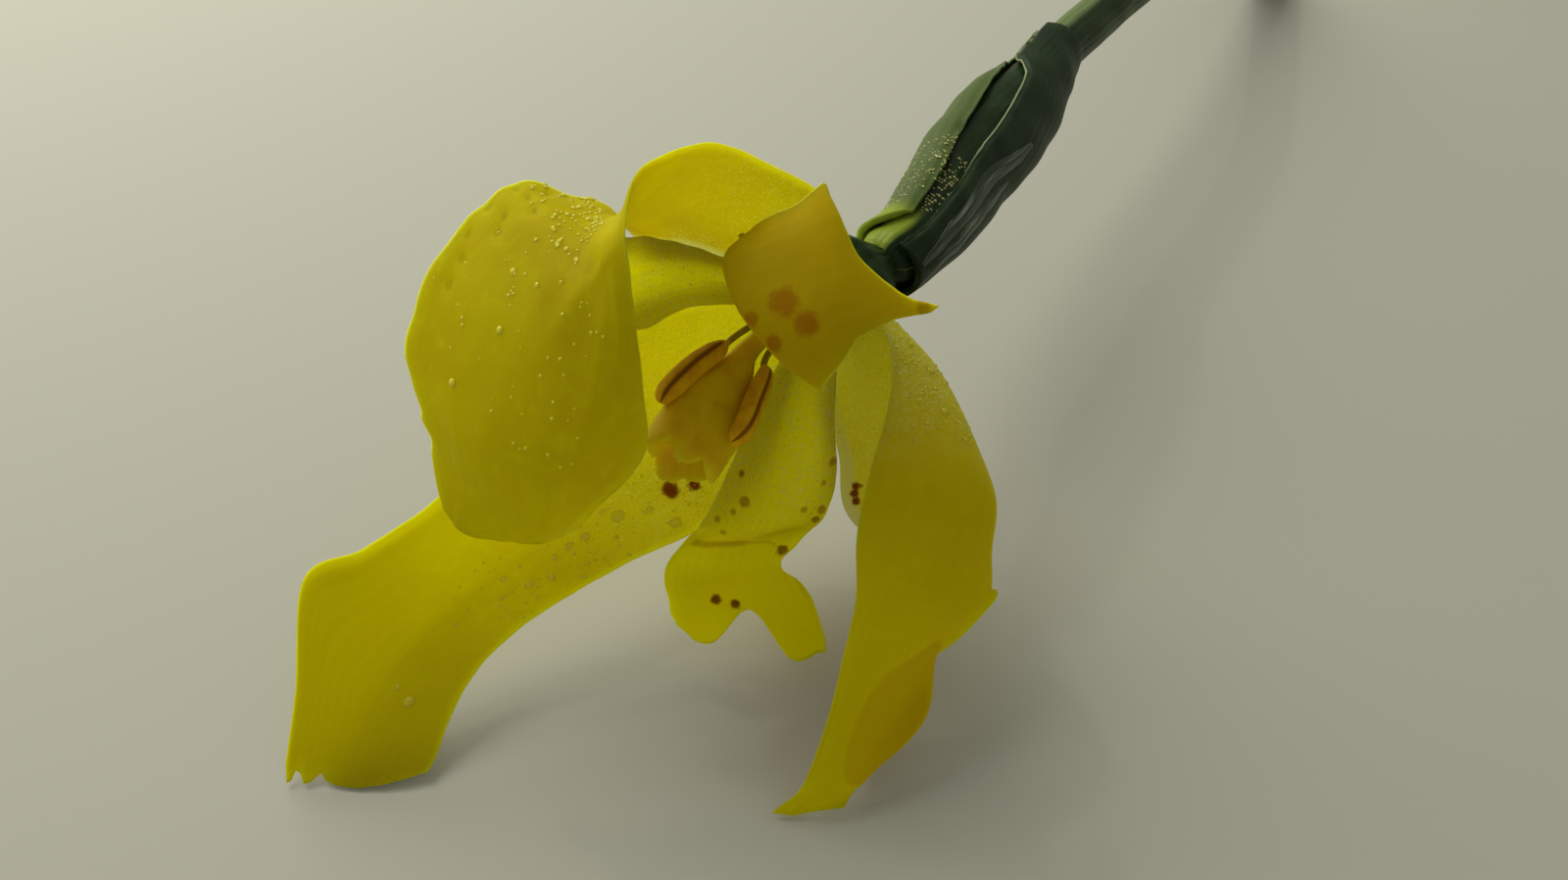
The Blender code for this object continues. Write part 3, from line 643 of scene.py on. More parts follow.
class Nodes:
    """Short calls for building a material's node tree. Lengths are in mm, noise scales in waves a mm."""

    def __init__(self, name, colour=None):
        self.colour = colour
        self.material = bpy.data.materials.new(name)
        self.material.use_nodes = True
        self.tree = self.material.node_tree
        self.shader = self.tree.nodes["Principled BSDF"]

    def plug(self, value, socket):
        value = value.socket if isinstance(value, Value) else value
        if isinstance(value, bpy.types.NodeSocket):
            self.tree.links.new(value, socket)
        elif isinstance(value, tuple) and len(value) == 3 and socket.type == "RGBA":
            socket.default_value = (*value, 1)
        else:
            socket.default_value = value

    def new(self, kind, inputs, **settings):
        """A node with its named or numbered inputs plugged in."""
        node = self.tree.nodes.new("ShaderNode" + kind)
        for key, value in settings.items():
            setattr(node, key, value)
        for key, value in inputs.items():
            self.plug(value, node.inputs[key])
        return node

    def value(self, output, kind, inputs, **settings):
        """The named or numbered output of a new node."""
        return Value(self, self.new(kind, inputs, **settings).outputs[output])

    def math(self, operation, *values):
        return self.value(0, "Math", dict(enumerate(values)), operation=operation)

    def apart(self, a, b):
        return self.math("ABSOLUTE", a - b)

    def most(self, a, b):
        return self.math("MAXIMUM", a, b)

    def lines(self, phase, sharpness):
        """1 on lines that are half a turn of the phase apart, and 0 midway; the sharper, the thinner."""
        return self.math("POWER", self.math("ABSOLUTE", self.math("SINE", phase)), sharpness)

    def step(self, value, low, high):
        """0 below the low value and 1 above the high one."""
        inputs = {"Value": value, "From Min": low, "From Max": high}
        return self.value("Result", "MapRange", inputs, interpolation_type="SMOOTHSTEP")

    def fall(self, value, low, high):
        """1 below the low value and 0 above the high one."""
        return 1 - self.step(value, low, high)

    def mix(self, factor, a, b):
        return self.value(2, "Mix", {"Factor": factor, 6: a, 7: b}, data_type="RGBA")

    def paint(self, mask, colour):
        """The colour over what is there, as far as the mask says."""
        self.colour = self.mix(mask, self.colour, colour)

    def coordinates(self):
        """The place in mm, and the UV pair."""
        source = self.new("TexCoord", {}).outputs
        place = self.value(0, "VectorMath", {0: source["Object"], "Scale": 1 / MM}, operation="SCALE")
        pair = self.new("SeparateXYZ", {0: source["UV"]}).outputs
        return place, Value(self, pair[0]), Value(self, pair[1])

    def noise(self, vector, scale, detail=3.0, roughness=0.5):
        inputs = {"Vector": vector, "Scale": scale, "Detail": detail, "Roughness": roughness}
        return self.value("Fac", "TexNoise", inputs)

    def streaks(self, u, v, across, along, detail=3.0):
        """Noise that is drawn out along the piece: waves to the whole width, and to a row."""
        pair = self.value(0, "CombineXYZ", {0: u * across, 1: v * along})
        return self.noise(pair, 1.0, detail)

    def cells(self, vector, scale):
        return self.value("Distance", "TexVoronoi", {"Vector": vector, "Scale": scale})

    def near(self, place, point, radius, softness, wobble):
        """1 within a radius of a point in mm from the flower's base, falling to 0; wobble moves the edge."""
        inputs = {0: place, 1: tuple(BASE + np.array(point))}
        away = self.value("Value", "VectorMath", inputs, operation="DISTANCE")
        return self.fall(away + wobble, radius * (1 - softness), radius)

    def stroke(self, u, v, start, end, width):
        """1 on the line between two (u, v) places, falling to 0 at a width from it."""
        length = end[0] - start[0]
        soft = 0.12 * length
        line = self.math("MULTIPLY_ADD", u - start[0], (end[1] - start[1]) / length, start[1])
        away = self.apart(v, line)
        begun = self.step(u, start[0] - soft, start[0] + soft)
        reach = begun * self.fall(u, end[0] - soft, end[0] + soft)
        return reach * self.fall(away, width * 0.2, width)

    def patch(self, u, v, centre, size, soft):
        """1 inside an ellipse on the UV plane, falling to 0 over the soft share of its size."""
        x = self.math("DIVIDE", u - centre[0], size[0])
        y = self.math("DIVIDE", v - centre[1], size[1])
        distance = self.math("SQRT", x * x + y * y)
        return self.fall(distance, 1 - soft, 1.0)

    def bump(self, height, distance, strength):
        inputs = {"Height": height, "Distance": distance * MM, "Strength": strength}
        return self.value(0, "Bump", inputs)

    def finish(self, roughness, normal=None, glow=None, **sockets):
        """glow is the weight of the soft light inside the tissue and how far it reaches."""
        sockets.update(Base_Color=self.colour, Roughness=roughness)
        if normal is not None:
            sockets.update(Normal=normal)
        if glow is not None:
            sockets.update(Subsurface_Weight=glow[0], Subsurface_Radius=glow[1], Subsurface_Scale=MM)
        for key, value in sockets.items():
            self.plug(value, self.shader.inputs[key.replace("_", " ")])
        return self.material


def petal_material(
    name, claw_rows, tint=None, shade=None, spots=(), pale_margins=(), patches=(), strokes=(), froth=(),
    spot_crisp=0.85, pale=0.6, glitter=0.6, vein_strength=0.12, relief=1.0,
):
    """Translucent yellow tissue. UV: u across from 0 to 1, v along in rows of the net.

    tint: colour and strength laid over the whole tepal: painted light on tepals in shade, painted shade on
    the
    upper inner tepal. shade: from row, to row and strength of painted shade. spots: point in mm, radius,
    strength
    and colour. pale_margins: side, row, rows, width and strength. patches: (u, v), size, softness, strength
    and
    colour. strokes: start, end, width, strength and colour. froth: (u, v), size and strength of a zone with
    more specks of painted glint.
    Marks that stay crisp are taken out of the soft scattering.
    """
    n = Nodes(name)
    place, u, v = n.coordinates()
    soft = n.noise(place, 0.18)
    middle = n.noise(place, 0.9)
    fine = n.noise(place, 5.0)

    n.colour = n.mix(n.step(soft, 0.35, 0.68), BLADE, BLADE_DEEP)
    n.paint(n.step(middle, 0.5, 0.75) * 0.45, BLADE_BRIGHT)
    # A colour over the whole tepal: painted light on tepals in shade, and painted shade on the upper inner
    # tepal
    if tint is not None:
        n.paint(tint[1], tint[0])
    # Painted shade from one row to another, towards the tip
    if shade is not None:
        low, high, strength = shade
        n.paint(n.step(v, low, high) * strength, BLADE_SHADE)

    wander = (n.streaks(u, v, 3.0, 0.7, 2.0) - 0.5) * 0.08
    across = u + wander
    line = n.lines(across * (pi * VEINS), 5.0)
    branch = n.lines((across + v * 0.006) * (pi * VEINS * FINE_VEINS), 8.0)
    vein = (line * 0.7 + branch * 0.3) * vein_strength
    n.paint(vein, BLADE_DEEP)

    claw = n.fall(v + middle * 1.5, claw_rows - 1.2, claw_rows + 1.6)
    n.paint(claw * pale, CLAW_PALE)
    # Specks of painted glint: the sparkle of wet papillae on the claws and in the frothy zones
    frothy = 0.0
    for centre, size, strength in froth:
        frothy = n.most(frothy, n.patch(u, v, centre, size, 0.7) * strength)
    grain = n.step(n.noise(place, 5.0, 2.0, 0.75), 0.53, 0.62)
    glint_specks = grain * n.most(claw * glitter, frothy)
    n.paint(glint_specks, PAINTED_GLINT)
    crisp = glint_specks * 0.25

    for centre, size, softness, strength, paint in patches:
        n.paint(n.patch(u, v, centre, size, softness) * strength, paint)
    for start, end, width, strength, paint in strokes:
        mark = n.stroke(u, v, start, end, width) * strength
        n.paint(mark, paint)
        crisp = n.most(crisp, mark * 0.7)

    rim = n.fall(n.math("MINIMUM", u, 1 - u), 0.003, 0.014)
    n.paint(rim * (1 - claw) * 0.5, GREEN_RIM)

    for side, row, rows, width, strength in pale_margins:
        edge = u if side == 0 else 1 - u
        here = n.fall(n.apart(v, row), rows * 0.5, rows)
        ragged = edge + (fine - 0.5) * 0.03
        band = here * n.fall(ragged, width * 0.4, width) * strength
        n.paint(band, HYALINE)
        crisp = n.most(crisp, band * 0.4)

    for point, radius, strength, paint in spots:
        wobble = (n.noise(place, 2.6, 3.0, 0.7) - 0.5) * (radius * 0.9)
        mark = n.near(place, point, radius, 0.55, wobble) * strength
        n.paint(mark, paint)
        crisp = n.most(crisp, mark * spot_crisp)

    roughness = 0.45 + (1 - glint_specks) * 0.2
    pimples = n.cells(place, 7.5) * (claw * 0.9 + 0.12)
    height = pimples + fine * 0.3
    height = height + (line + branch * 0.4) * 0.14
    glow = (1 - crisp, BLADE_GLOW)
    return n.finish(roughness, n.bump(height, 0.06 * relief, 0.7), glow, Specular_IOR_Level=0.04)


def water_material(name, tint, clear):
    """Drops of water, whose tint is painted light: the glow of the tissue under them, and on the spathe a
    pale sparkle.
    """
    return Nodes(name, tint).finish(0.05, Transmission_Weight=clear, IOR=1.4, Specular_IOR_Level=0.6)


def style_material():
    n = Nodes("style")
    place, _, v = n.coordinates()
    soft = n.noise(place, 0.6)
    fine = n.noise(place, 6.0)
    n.colour = n.mix(n.step(soft, 0.35, 0.7), STYLE_GOLD, STYLE_ORANGE)
    n.paint(n.step(v, 6.0, 7.0) * 0.35, CREST_GOLD)
    n.paint(n.step(fine, 0.55, 0.75) * 0.25, STYLE_FLECK)
    roughness = 0.42 + fine * 0.2
    height = n.cells(place, 6.0) * 0.5 + fine * 0.5
    return n.finish(roughness, n.bump(height, 0.03, 0.6), (0.8, STYLE_GLOW), Specular_IOR_Level=0.12)


def anther_material():
    """v is below 1 on the filament and from 1 to 2 on the anther, and the slit is at u = 0.5."""
    n = Nodes("anther")
    place, u, v = n.coordinates()
    soft = n.noise(place, 1.4)
    grain = n.noise(place, 11.0, 2.0, 0.7)
    n.colour = n.mix(n.step(soft, 0.35, 0.7), ANTHER_ORANGE, ANTHER_DEEP)
    n.paint(n.step(grain, 0.55, 0.72) * 0.5, POLLEN)
    slit = n.fall(n.apart(u, 0.5), 0.012, 0.06)
    n.paint(slit * n.step(v, 1.0, 1.12), SLIT_BROWN)
    n.paint(n.fall(v, 0.9, 1.0), FILAMENT_OLIVE)
    roughness = 0.6 + grain * 0.25
    height = n.cells(place, 9.0) * 0.6 + grain * 0.5
    return n.finish(roughness, n.bump(height, 0.04, 0.8), (0.5, ANTHER_GLOW), Specular_IOR_Level=0.1)


def green_material(name, dark, pale, ribs, gloss=0.38, margin=None, painted_light=(), pith=None, rib_depth=0.5):
    """Leaf tissue. UV: u across or round, v along.

    margin: width, strength and first row of a pale edge. Each zone of painted light, for the side that faces
    the
    lamp: from u, to u, last row or None, strength and colour. pith: the v that the cut end starts at.
    """
    n = Nodes(name)
    place, u, v = n.coordinates()
    soft = n.noise(place, 0.3)
    streak = n.streaks(u, v, 60.0, 1.2)
    fine = n.noise(place, 7.0)
    line = n.lines(u * (pi * ribs), 3.0)
    n.colour = n.mix(n.step(soft, 0.35, 0.7), dark, pale)
    n.paint(n.step(streak, 0.5, 0.75) * 0.45, pale)
    n.paint(line * 0.18, pale)
    if margin is not None:
        width, strength, row = margin
        edge = n.math("MINIMUM", u, 1 - u)
        edge = edge + (streak - 0.5) * (width * 0.6)
        rim = n.fall(edge, width * 0.25, width) * n.step(v, row, row + 1.5)
        n.paint(rim * strength, MARGIN_PALE)
    # Painted light: brighter green on the side that faces the lamp
    for low, high, row, strength, paint in painted_light:
        zone = n.step(u, low, low + 0.05) * n.fall(u, high - 0.05, high)
        if row is not None:
            zone = zone * n.fall(v, row, row + 0.5)
        n.paint(zone * strength, paint)
    if pith is not None:
        n.paint(n.step(v, pith, pith + 0.1), PITH)
    roughness = gloss + fine * 0.18
    height = line * rib_depth + (streak * 0.5 + fine * 0.25)
    return n.finish(roughness, n.bump(height, 0.06, 0.7), (0.25, LEAF_GLOW), Specular_IOR_Level=0.2)


def skin_material():
    n = Nodes("membrane")
    _, u, v = n.coordinates()
    streak = n.streaks(u, v, 13.0, 0.9)
    n.colour = n.mix(n.step(streak, 0.52, 0.68), SKIN_DARK, SKIN_PALE)
    return n.finish(0.25 + streak * 0.2, n.bump(streak, 0.05, 0.6), (0.4, SKIN_GLOW))


# Tepals


def make_tepal(
    name, shape, ring, thickness, material, along=15, across=84, tip=(), margins=((), ()), crinkle=0.07,
    relief=None, seed=1,
):
    """A thin tepal over the net, with its points, normals, rows and places across.

    tip: (place across, rows added at the end). margins: (row, share of the width added) for the first and the
    last margin. crinkle: height of the margins' waves. relief: a function of row and place, in mm.
    """
    net = tepal_net(*shape, ring)
    rows, columns = net.shape[:2]
    count = (rows - 1) * along + 1
    s, t = np.meshgrid(np.linspace(0, 1, count), np.linspace(0, 1, across), indexing="ij")
    row = s * (rows - 1) + ramp(s, 0.55, 1.0) * on_pairs(tip, t)
    first, last = on_pairs(margins[0], row), on_pairs(margins[1], row)
    column = -first + t * (1 + first + last)
    middle = on_net(net, row, column * (columns - 1))
    normal = grid_normals(middle)
    lengths = np.linalg.norm(np.diff(middle, axis=0), axis=-1).mean(1)
    y = np.concatenate([[0], np.cumsum(lengths)])[:, None] + 0 * t
    spans = np.linalg.norm(np.diff(middle, axis=1), axis=-1)
    x = np.concatenate([np.zeros((count, 1)), np.cumsum(spans, axis=1)], axis=1)
    edge = np.minimum(x, x[:, -1:] - x)
    grown = ramp(row, 1.0, 4.0)
    lift = RIPPLE_HEIGHT * ripple(x, y, RIPPLE_LENGTH, seed) * grown
    lift += crinkle * grown * ripple(0 * x, y, CRINKLE_LENGTH, seed + 1) * np.exp(-edge / CRINKLE_REACH)
    lift += RIB_HEIGHT * grown * np.cos(TURN * RIBS * t)
    if relief is not None:
        lift += relief(row, t)
    middle = middle + normal * lift[..., None]
    thin = thickness * (MARGIN_SHARE + (1 - MARGIN_SHARE) * ramp(edge, 0.0, MARGIN_WIDTH))
    thin = np.maximum(thin * (0.6 + 0.4 * ramp(y[-1:] - y, 0.0, 0.8)), LEAST_THICKNESS)
    obj = add_sheet(name, middle, thin, np.stack([t, row], -1), material)
    return obj, middle, normal, row, t


def top_relief(row, t):
    """Pits near the upper margin, a soft slanting fold and the main veins, in mm."""
    pits = sum(bell(t, across, 0.022) * bell(row, along, 0.13) for across, along in TOP_PITS)
    fold = bell(t, on_pairs(TOP_FOLD, row), 0.05) * ramp(row, 5.6, 6.6) * ramp(-row, -9.4, -7.8)
    fan = np.cos(TURN * 6 * (t - 0.02 * row)) * ramp(row, 5.5, 7.5)
    return -0.2 * pits + 0.12 * fold + 0.03 * fan


def left_relief(row, t):
    """A shallow channel along the midrib, in mm."""
    return -0.16 * bell(t, 0.5, 0.12) * ramp(row, 3.5, 5.0) * ramp(-row, -8.5, -6.5)


def petals():
    """The six tepals: node, slot, name, net, rows of the claw, looks and form of each."""
    top = dict(across=110, margins=(TOP_CRINKLE, ()), relief=top_relief, seed=11)
    left = dict(along=17, across=96, tip=LEFT_TIP, relief=left_relief, seed=21)
    right = dict(across=110, margins=((), RIGHT_RUFFLE), seed=31)
    bottom = dict(across=96, tip=BOTTOM_TIP, margins=((), BOTTOM_EAR), seed=41)
    upper = dict(tip=UPPER_TIP, margins=((), UPPER_PINCH), crinkle=0.03, seed=51)
    inner_left = dict(along=12, across=64, seed=61)
    made = {}
    for node, slot, name, net, claw_rows, look, form in (
        ("outer_tepal_top", "outer_tepal", "top", OUTER_TOP, 3.2, TOP_LOOK, top),
        ("outer_tepal_left", "outer_tepal", "left", OUTER_LEFT, 3.6, LEFT_LOOK, left),
        ("outer_tepal_right", "outer_tepal", "right", OUTER_RIGHT, 3.6, RIGHT_LOOK, right),
        ("inner_tepal_bottom", "inner_tepal", "bottom", INNER_BOTTOM, 4.3, BOTTOM_LOOK, bottom),
        ("inner_tepal_upper", "inner_tepal", "upper", INNER_UPPER, 2.5, UPPER_LOOK, upper),
        ("inner_tepal_left", "inner_tepal", "inner_left", INNER_LEFT, 7.0, INNER_LEFT_LOOK, inner_left),
    ):
        ring, thickness = (OUTER_RING, 0.22) if slot == "outer_tepal" else (INNER_RING, 0.2)
        material = petal_material("tepal_" + name, claw_rows, **look)
        made[node] = make_tepal(name + "_tepal", net, ring, thickness, material, **form)
        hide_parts(node)
    return made


# Style and stamens


def style_line(x):
    return on_curve([s[0] for s in STYLE], x), on_curve([s[1:] for s in STYLE], x)


def make_style():
    """A column that widens to three branches, with six crests round a shallow hollow."""
    sides = 144
    last = len(STYLE) - 1
    x = np.linspace(0, last, 80)
    centres, sizes = style_line(x)
    corner = radians(STYLE_CORNERS[0])
    apart = ramp(x, 2.6, last)

    def reach(i, angles):
        radius, lobes = sizes[i]
        furrow = sum(bell(turned(angles, f), 0, 0.2) for f in STYLE_FURROWS)
        face = bell(turned(angles, STYLE_FACE), 0, 0.12)
        relief = 0.03 * ripple(3 * np.cos(angles), 3 * np.sin(angles) + 2 * x[i], 1.6, 71)
        shape = 1 + lobes * np.cos(3 * (angles - corner)) - apart[i] * (0.16 * furrow + 0.03 * face)
        shape = shape * (1 + 0.1 * ramp(x[i], 3.0, 4.5))
        return radius * shape + relief * apart[i]

    rings = swept(centres, sides, reach)
    forward = centres[-1] - centres[-2]
    forward = forward / np.linalg.norm(forward)
    middle = centres[-1]
    angles = round_angles(sides)
    first = CRESTS[0][0]
    height = on_pairs(CRESTS, (np.degrees(angles) - first) % 360 + first)
    lobe = np.abs(np.cos(3 * (angles - corner))) ** 0.6
    crest = CREST_NOTCH + (height - CREST_NOTCH) * lobe
    crest = crest + 0.06 * ripple(6 * np.cos(angles), 6 * np.sin(angles), 1.5, 72)
    crown = [
        middle + (rings[-1] - middle) * inward + (rise + share * crest)[:, None] * forward
        for inward, rise, share in CROWN
    ]
    along = np.concatenate([x, last + 0.1 + 0.1 * np.arange(len(CROWN))])
    rings = np.concatenate([rings, crown])
    obj = add_tube("style_with_crests", rings, style_material(), along)
    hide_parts("style")


def make_stamens():
    """Each stamen follows a corner of the style: a thin filament, then an anther with a slit along it."""
    material = anther_material()
    sides = 64
    lower = np.linspace(0, ANTHER_START - 0.05, FILAMENT_STEPS)
    upper = np.linspace(ANTHER_START, ANTHER_START + ANTHER_LENGTH, ANTHER_STEPS)
    places = np.concatenate([lower, upper])
    on_filament = places < ANTHER_START
    centres, sizes = style_line(places / 2)
    anther = np.clip((places - ANTHER_START) / ANTHER_LENGTH, 0, 1)
    body = np.sqrt(np.clip(1 - np.abs(2 * anther - 1) ** 3.5, 0, 1))
    half = np.where(on_filament, FILAMENT_RADIUS, ANTHER_RADIUS * np.maximum(body, 0.12))
    along = np.where(on_filament, places / 5, 1 + anther)
    for number, name in enumerate(STAMENS):
        corner, turn = STYLE_CORNERS[number], ANTHER_TURNS[number]
        line = []
        for i, direction in enumerate(np.gradient(centres, axis=0)):
            side, upward = cross_frame(direction)
            place = places[i]
            angle = radians(corner + turn * max(0, place - 5) / 5)
            angle -= FILAMENT_TWIST * max(0, 4 - place) / 4
            outward = cos(angle) * side + sin(angle) * upward
            radius, lobes = sizes[i]
            own = FILAMENT_RADIUS if on_filament[i] else ANTHER_RADIUS * 0.8
            line.append(centres[i] + (radius * (1 + lobes) + ANTHER_GAP + own) * outward)
        line = np.array(line)
        jump = line[FILAMENT_STEPS] - line[FILAMENT_STEPS - 1]
        joined = 0.6 * ramp(np.arange(FILAMENT_STEPS), 12, FILAMENT_STEPS - 1)
        line[:FILAMENT_STEPS] += jump * joined[:, None]
        start = radians(corner + SLIT_ANGLES[number]) - pi

        def reach(i, angles):
            groove = bell(turned(angles, start + pi), 0, 0.24)
            flat = 1 - 0.14 * np.cos(2 * (angles - radians(corner)))
            share = 1.0 if on_filament[i] else flat - SLIT_DEPTH * groove * min(1.0, body[i] * 1.3)
            return half[i] * share * np.ones_like(angles)

        rings = swept(line, sides, reach)
        rings = np.roll(rings, -int(round(start / TURN * sides)), axis=1)
        obj = add_tube(name, rings, material, along)
        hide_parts(f"stamen_{number + 1}")


# Green parts


def spathe_point(centre, half_width, half_depth, angle, inset=0.0):
    """A point of the spathe's surface, or of one that lies a distance inside it."""
    wide = np.cos(angle - SPATHE_WIDE_ANGLE) / (half_width - inset)
    deep = np.sin(angle - SPATHE_WIDE_ANGLE) / (half_depth - inset)
    reach = 1 / np.hypot(wide, deep)
    x = centre[..., 0] + reach * np.cos(angle)
    z = centre[..., 2] + reach * np.sin(angle)
    return np.stack(np.broadcast_arrays(x, centre[..., 1], z), -1)


def make_outer_bract():
    """The outer bract, folded round the inner one, with thin pale margins and fine ribs."""
    count, across = 170, 140
    last = len(SPATHE) - 1
    s, u = np.meshgrid(np.linspace(0, 1, count), np.linspace(0, 1, across), indexing="ij")
    mouth = on_pairs(MOUTH, u) + 0.1 * ripple(u * 9, 0 * u, 2.2, 81)
    x = np.maximum(s * (last + FOOT) + (1 - ramp(s, 0, 0.45)) * mouth, -0.15)
    centre = on_curve([p[0] for p in SPATHE], x.ravel()).reshape(count, across, 3)
    sizes = on_curve([p[1:] for p in SPATHE], x.ravel()).reshape(count, across, 4)
    angle = np.radians(sizes[..., 2] * (1 - u) + (sizes[..., 3] + 360) * u)
    points = spathe_point(centre, sizes[..., 0], sizes[..., 1], angle)
    edge = np.minimum(u, 1 - u)
    lift = 0.008 * np.cos(TURN * 26 * u) + 0.05 * ripple(u * 16, x * 4, 5.0, 82)
    lift += 0.1 * bell(u, 0.96, 0.02)
    lift += 0.1 * np.exp(-edge / 0.03) * ripple(0 * u, x * 4, 2.4, 83)
    normal = grid_normals(points)
    outward = normal * np.sign(np.einsum("ijk,ijk->ij", normal, points - centre))[..., None]
    points = points + outward * (lift * ramp(x, -0.2, 0.6))[..., None]
    # Painted light on the facet next to the margin and in the mouth, which face the lamp
    material = green_material(
        "outer_bract", *OUTER_GREENS, 26, margin=(0.01, 0.7, 2.0),
        painted_light=((-0.1, 0.2, None, 0.8, PAINTED_LIGHT_FACET), (-0.1, 0.3, 0.85, 0.9, PAINTED_LIGHT_MOUTH)), rib_depth=0.15,
    )
    thickness = BRACT_EDGE + BRACT_GROWTH * ramp(edge, 0, BRACT_MARGIN)
    obj = add_sheet("outer_bract", points, thickness, np.stack([u, x], -1), material)
    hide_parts("spathe_outer_bract")
    make_membranes(points, outward, x)
    return obj, points, outward, x, u


def make_membranes(points, outward, x):
    """Thin pale folds of skin along the outer bract's lower side, a little above its points."""
    material = skin_material()
    rows, columns = 90, 15
    last = points.shape[1] - 1
    share = np.linspace(-1, 1, columns)
    taper = np.sin(pi * np.linspace(0.02, 0.98, rows))[:, None] ** 0.5
    for name, ends, middles, width, seed in MEMBRANES:
        row = np.linspace(ends[0], ends[-1], rows)
        middle = np.interp(np.linspace(ends[0], ends[-1], 8), ends, middles)
        centre = on_curve(middle, np.linspace(0, 7, rows))[:, None]
        wave = 0.2 * ripple(row * 3, 0 * row, 2.0, seed)[:, None]
        place = centre + width * taper * (share + wave * 0.4)
        c = np.clip(np.round(place * last), 0, last).astype(int)
        r = np.abs(x[:, c] - row[:, None]).argmin(0)
        height = SKIN_LIFT + SKIN_BULGE * (1 - share**2) + SKIN_CURL * share * wave
        strip = points[r, c] + outward[r, c] * height[..., None]
        for _ in range(3):
            strip[1:-1] = (strip[:-2] + 2 * strip[1:-1] + strip[2:]) / 4
            strip[:, 1:-1] = (strip[:, :-2] + 2 * strip[:, 1:-1] + strip[:, 2:]) / 4
        grid = np.stack(np.meshgrid(row, np.linspace(0, 1, columns), indexing="ij")[::-1], -1)
        add_sheet(name, strip, SKIN_THICKNESS, grid, material)


def make_inner_bract():
    """The inner bract as one body, with a round cap in the mouth."""
    sides = 120
    x = np.linspace(0.02, 7.5, 120)
    centres = on_curve([p[0] for p in SPATHE], x)
    sizes = on_curve([p[1:3] for p in SPATHE], x)
    angles = round_angles(sides)
    grow = np.minimum(ramp(x, 0.0, 0.4), ramp(-x, -7.55, -7.1))
    rings = []
    for centre, (half_width, half_depth), share, row in zip(centres, sizes, grow, x):
        ring = spathe_point(centre[None, :], half_width, half_depth, angles, INNER_INSET)
        relief = 0.006 * np.cos(24 * angles) + 0.04 * ripple(5 * angles, 0 * angles + 4 * row, 4.0, 84)
        scale = (0.85 + 0.15 * share) * (1 + (relief / 2.2))[:, None]
        rings.append(centre + (ring - centre) * scale)
    rings = np.array(rings)
    ahead = centres[0] - centres[2]
    cap = [centres[0] + (rings[0] - centres[0]) * share + ahead * rise for share, rise in INNER_CAP]
    closed = np.concatenate([cap, rings])
    # Painted light: bright green where the inner bract shows in the mouth, lit from above
    material = green_material(
        "inner_bract", *INNER_GREENS, 24, gloss=0.3, rib_depth=0.2,
        painted_light=((0.2, 0.62, 0.9, 0.95, PAINTED_LIGHT_INNER),),
    )
    obj = add_tube("inner_bract", closed, material, np.concatenate([x[:1], x[:1], x]))
    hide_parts("spathe_inner_bract")
    outward = rings - centres[:, None, :]
    outward = outward / np.linalg.norm(outward, axis=-1, keepdims=True)
    row = np.broadcast_to(x[:, None], rings.shape[:2])
    return obj, rings, outward, row, np.broadcast_to(np.linspace(0, 1, sides), rings.shape[:2])


def make_ovary():
    """The ovary with the top of its stalk, and a seat that closes on the tepals."""
    sides = 96
    x = np.linspace(0, len(OVARY) - 1, 50)
    profile = on_curve(OVARY, x)
    angles = round_angles(sides)
    rings = []
    for along, radius in profile:
        relief = 0.05 * np.cos(3 * angles) + 0.012 * np.cos(18 * angles)
        relief = relief + 0.02 * ripple(3 * np.cos(angles), 3 * np.sin(angles) + along, 2.0, 85)
        circle = np.stack([np.cos(angles), 0 * angles, np.sin(angles)], 1)
        rings.append(along * np.array(OVARY_AXIS) + radius * (1 + relief)[:, None] * circle)
    face = profile[0, 0] * np.array(OVARY_AXIS)
    seat = [face + (rings[0] - face) * share - np.array((0, forward, 0)) for share, forward in OVARY_SEAT]
    rings = np.concatenate([seat, rings])
    # Painted light: bright green on the lit top of the ovary
    material = green_material(
        "ovary", *OVARY_GREENS, 18, gloss=0.35,
        painted_light=((0.27, 0.62, None, 0.9, PAINTED_LIGHT_OVARY),),
    )
    along = np.concatenate([0.03 * np.arange(3), 0.1 + x])
    obj = add_tube("ovary_and_stalk", rings, material, along)
    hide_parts("ovary")


def make_stem():
    """The stem with a low ridge along it, a neck inside the spathe and a plain cut end."""
    sides = 96
    last = len(STEM) - 1
    x = np.linspace(0, last, 120)
    line = on_curve(STEM, x)
    back = (line[1] - line[0]) / np.linalg.norm(line[1] - line[0])
    centres = np.concatenate([[line[0] - NECK_LENGTH * back, line[0] - 0.05 * back], line])
    radii = np.concatenate([[NECK_RADIUS, NECK_RADIUS], np.full(len(line), STEM_RADIUS)])
    row = np.concatenate([[-0.2, -0.1], x])

    def reach(i, angles):
        ridge = sum(bell(turned(angles, STEM_RIDGE_ANGLE + side), 0, 0.22) for side in (0, pi))
        flat = 0.0175 * np.cos(2 * (angles - STEM_RIDGE_ANGLE))
        relief = 0.012 * ripple(4 * angles, 0 * angles + 6 * row[i], 3.0, 86) + 0.006 * np.cos(20 * angles)
        return radii[i] * (0.965 + 0.045 * ridge + flat + relief)

    rings = swept(centres, sides, reach)
    tip = centres[-1]
    cap = [tip + (rings[-1] - tip) * share + back * rise for share, rise in STEM_CAP]
    rings = np.concatenate([rings, cap])
    along = np.concatenate([row, last + 0.3 + 0.1 * np.arange(len(STEM_CAP))])
    # Painted light: pale green along the side of the stem that faces the lamp
    material = green_material(
        "stem", *STEM_GREENS, 20, gloss=0.33, pith=last + 0.12, rib_depth=0.3,
        painted_light=((0.2, 0.55, None, 0.8, PAINTED_LIGHT_STEM),),
    )
    obj = add_tube("stem_with_cut_end", rings, material, along)
    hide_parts("stem")


# Drops of water


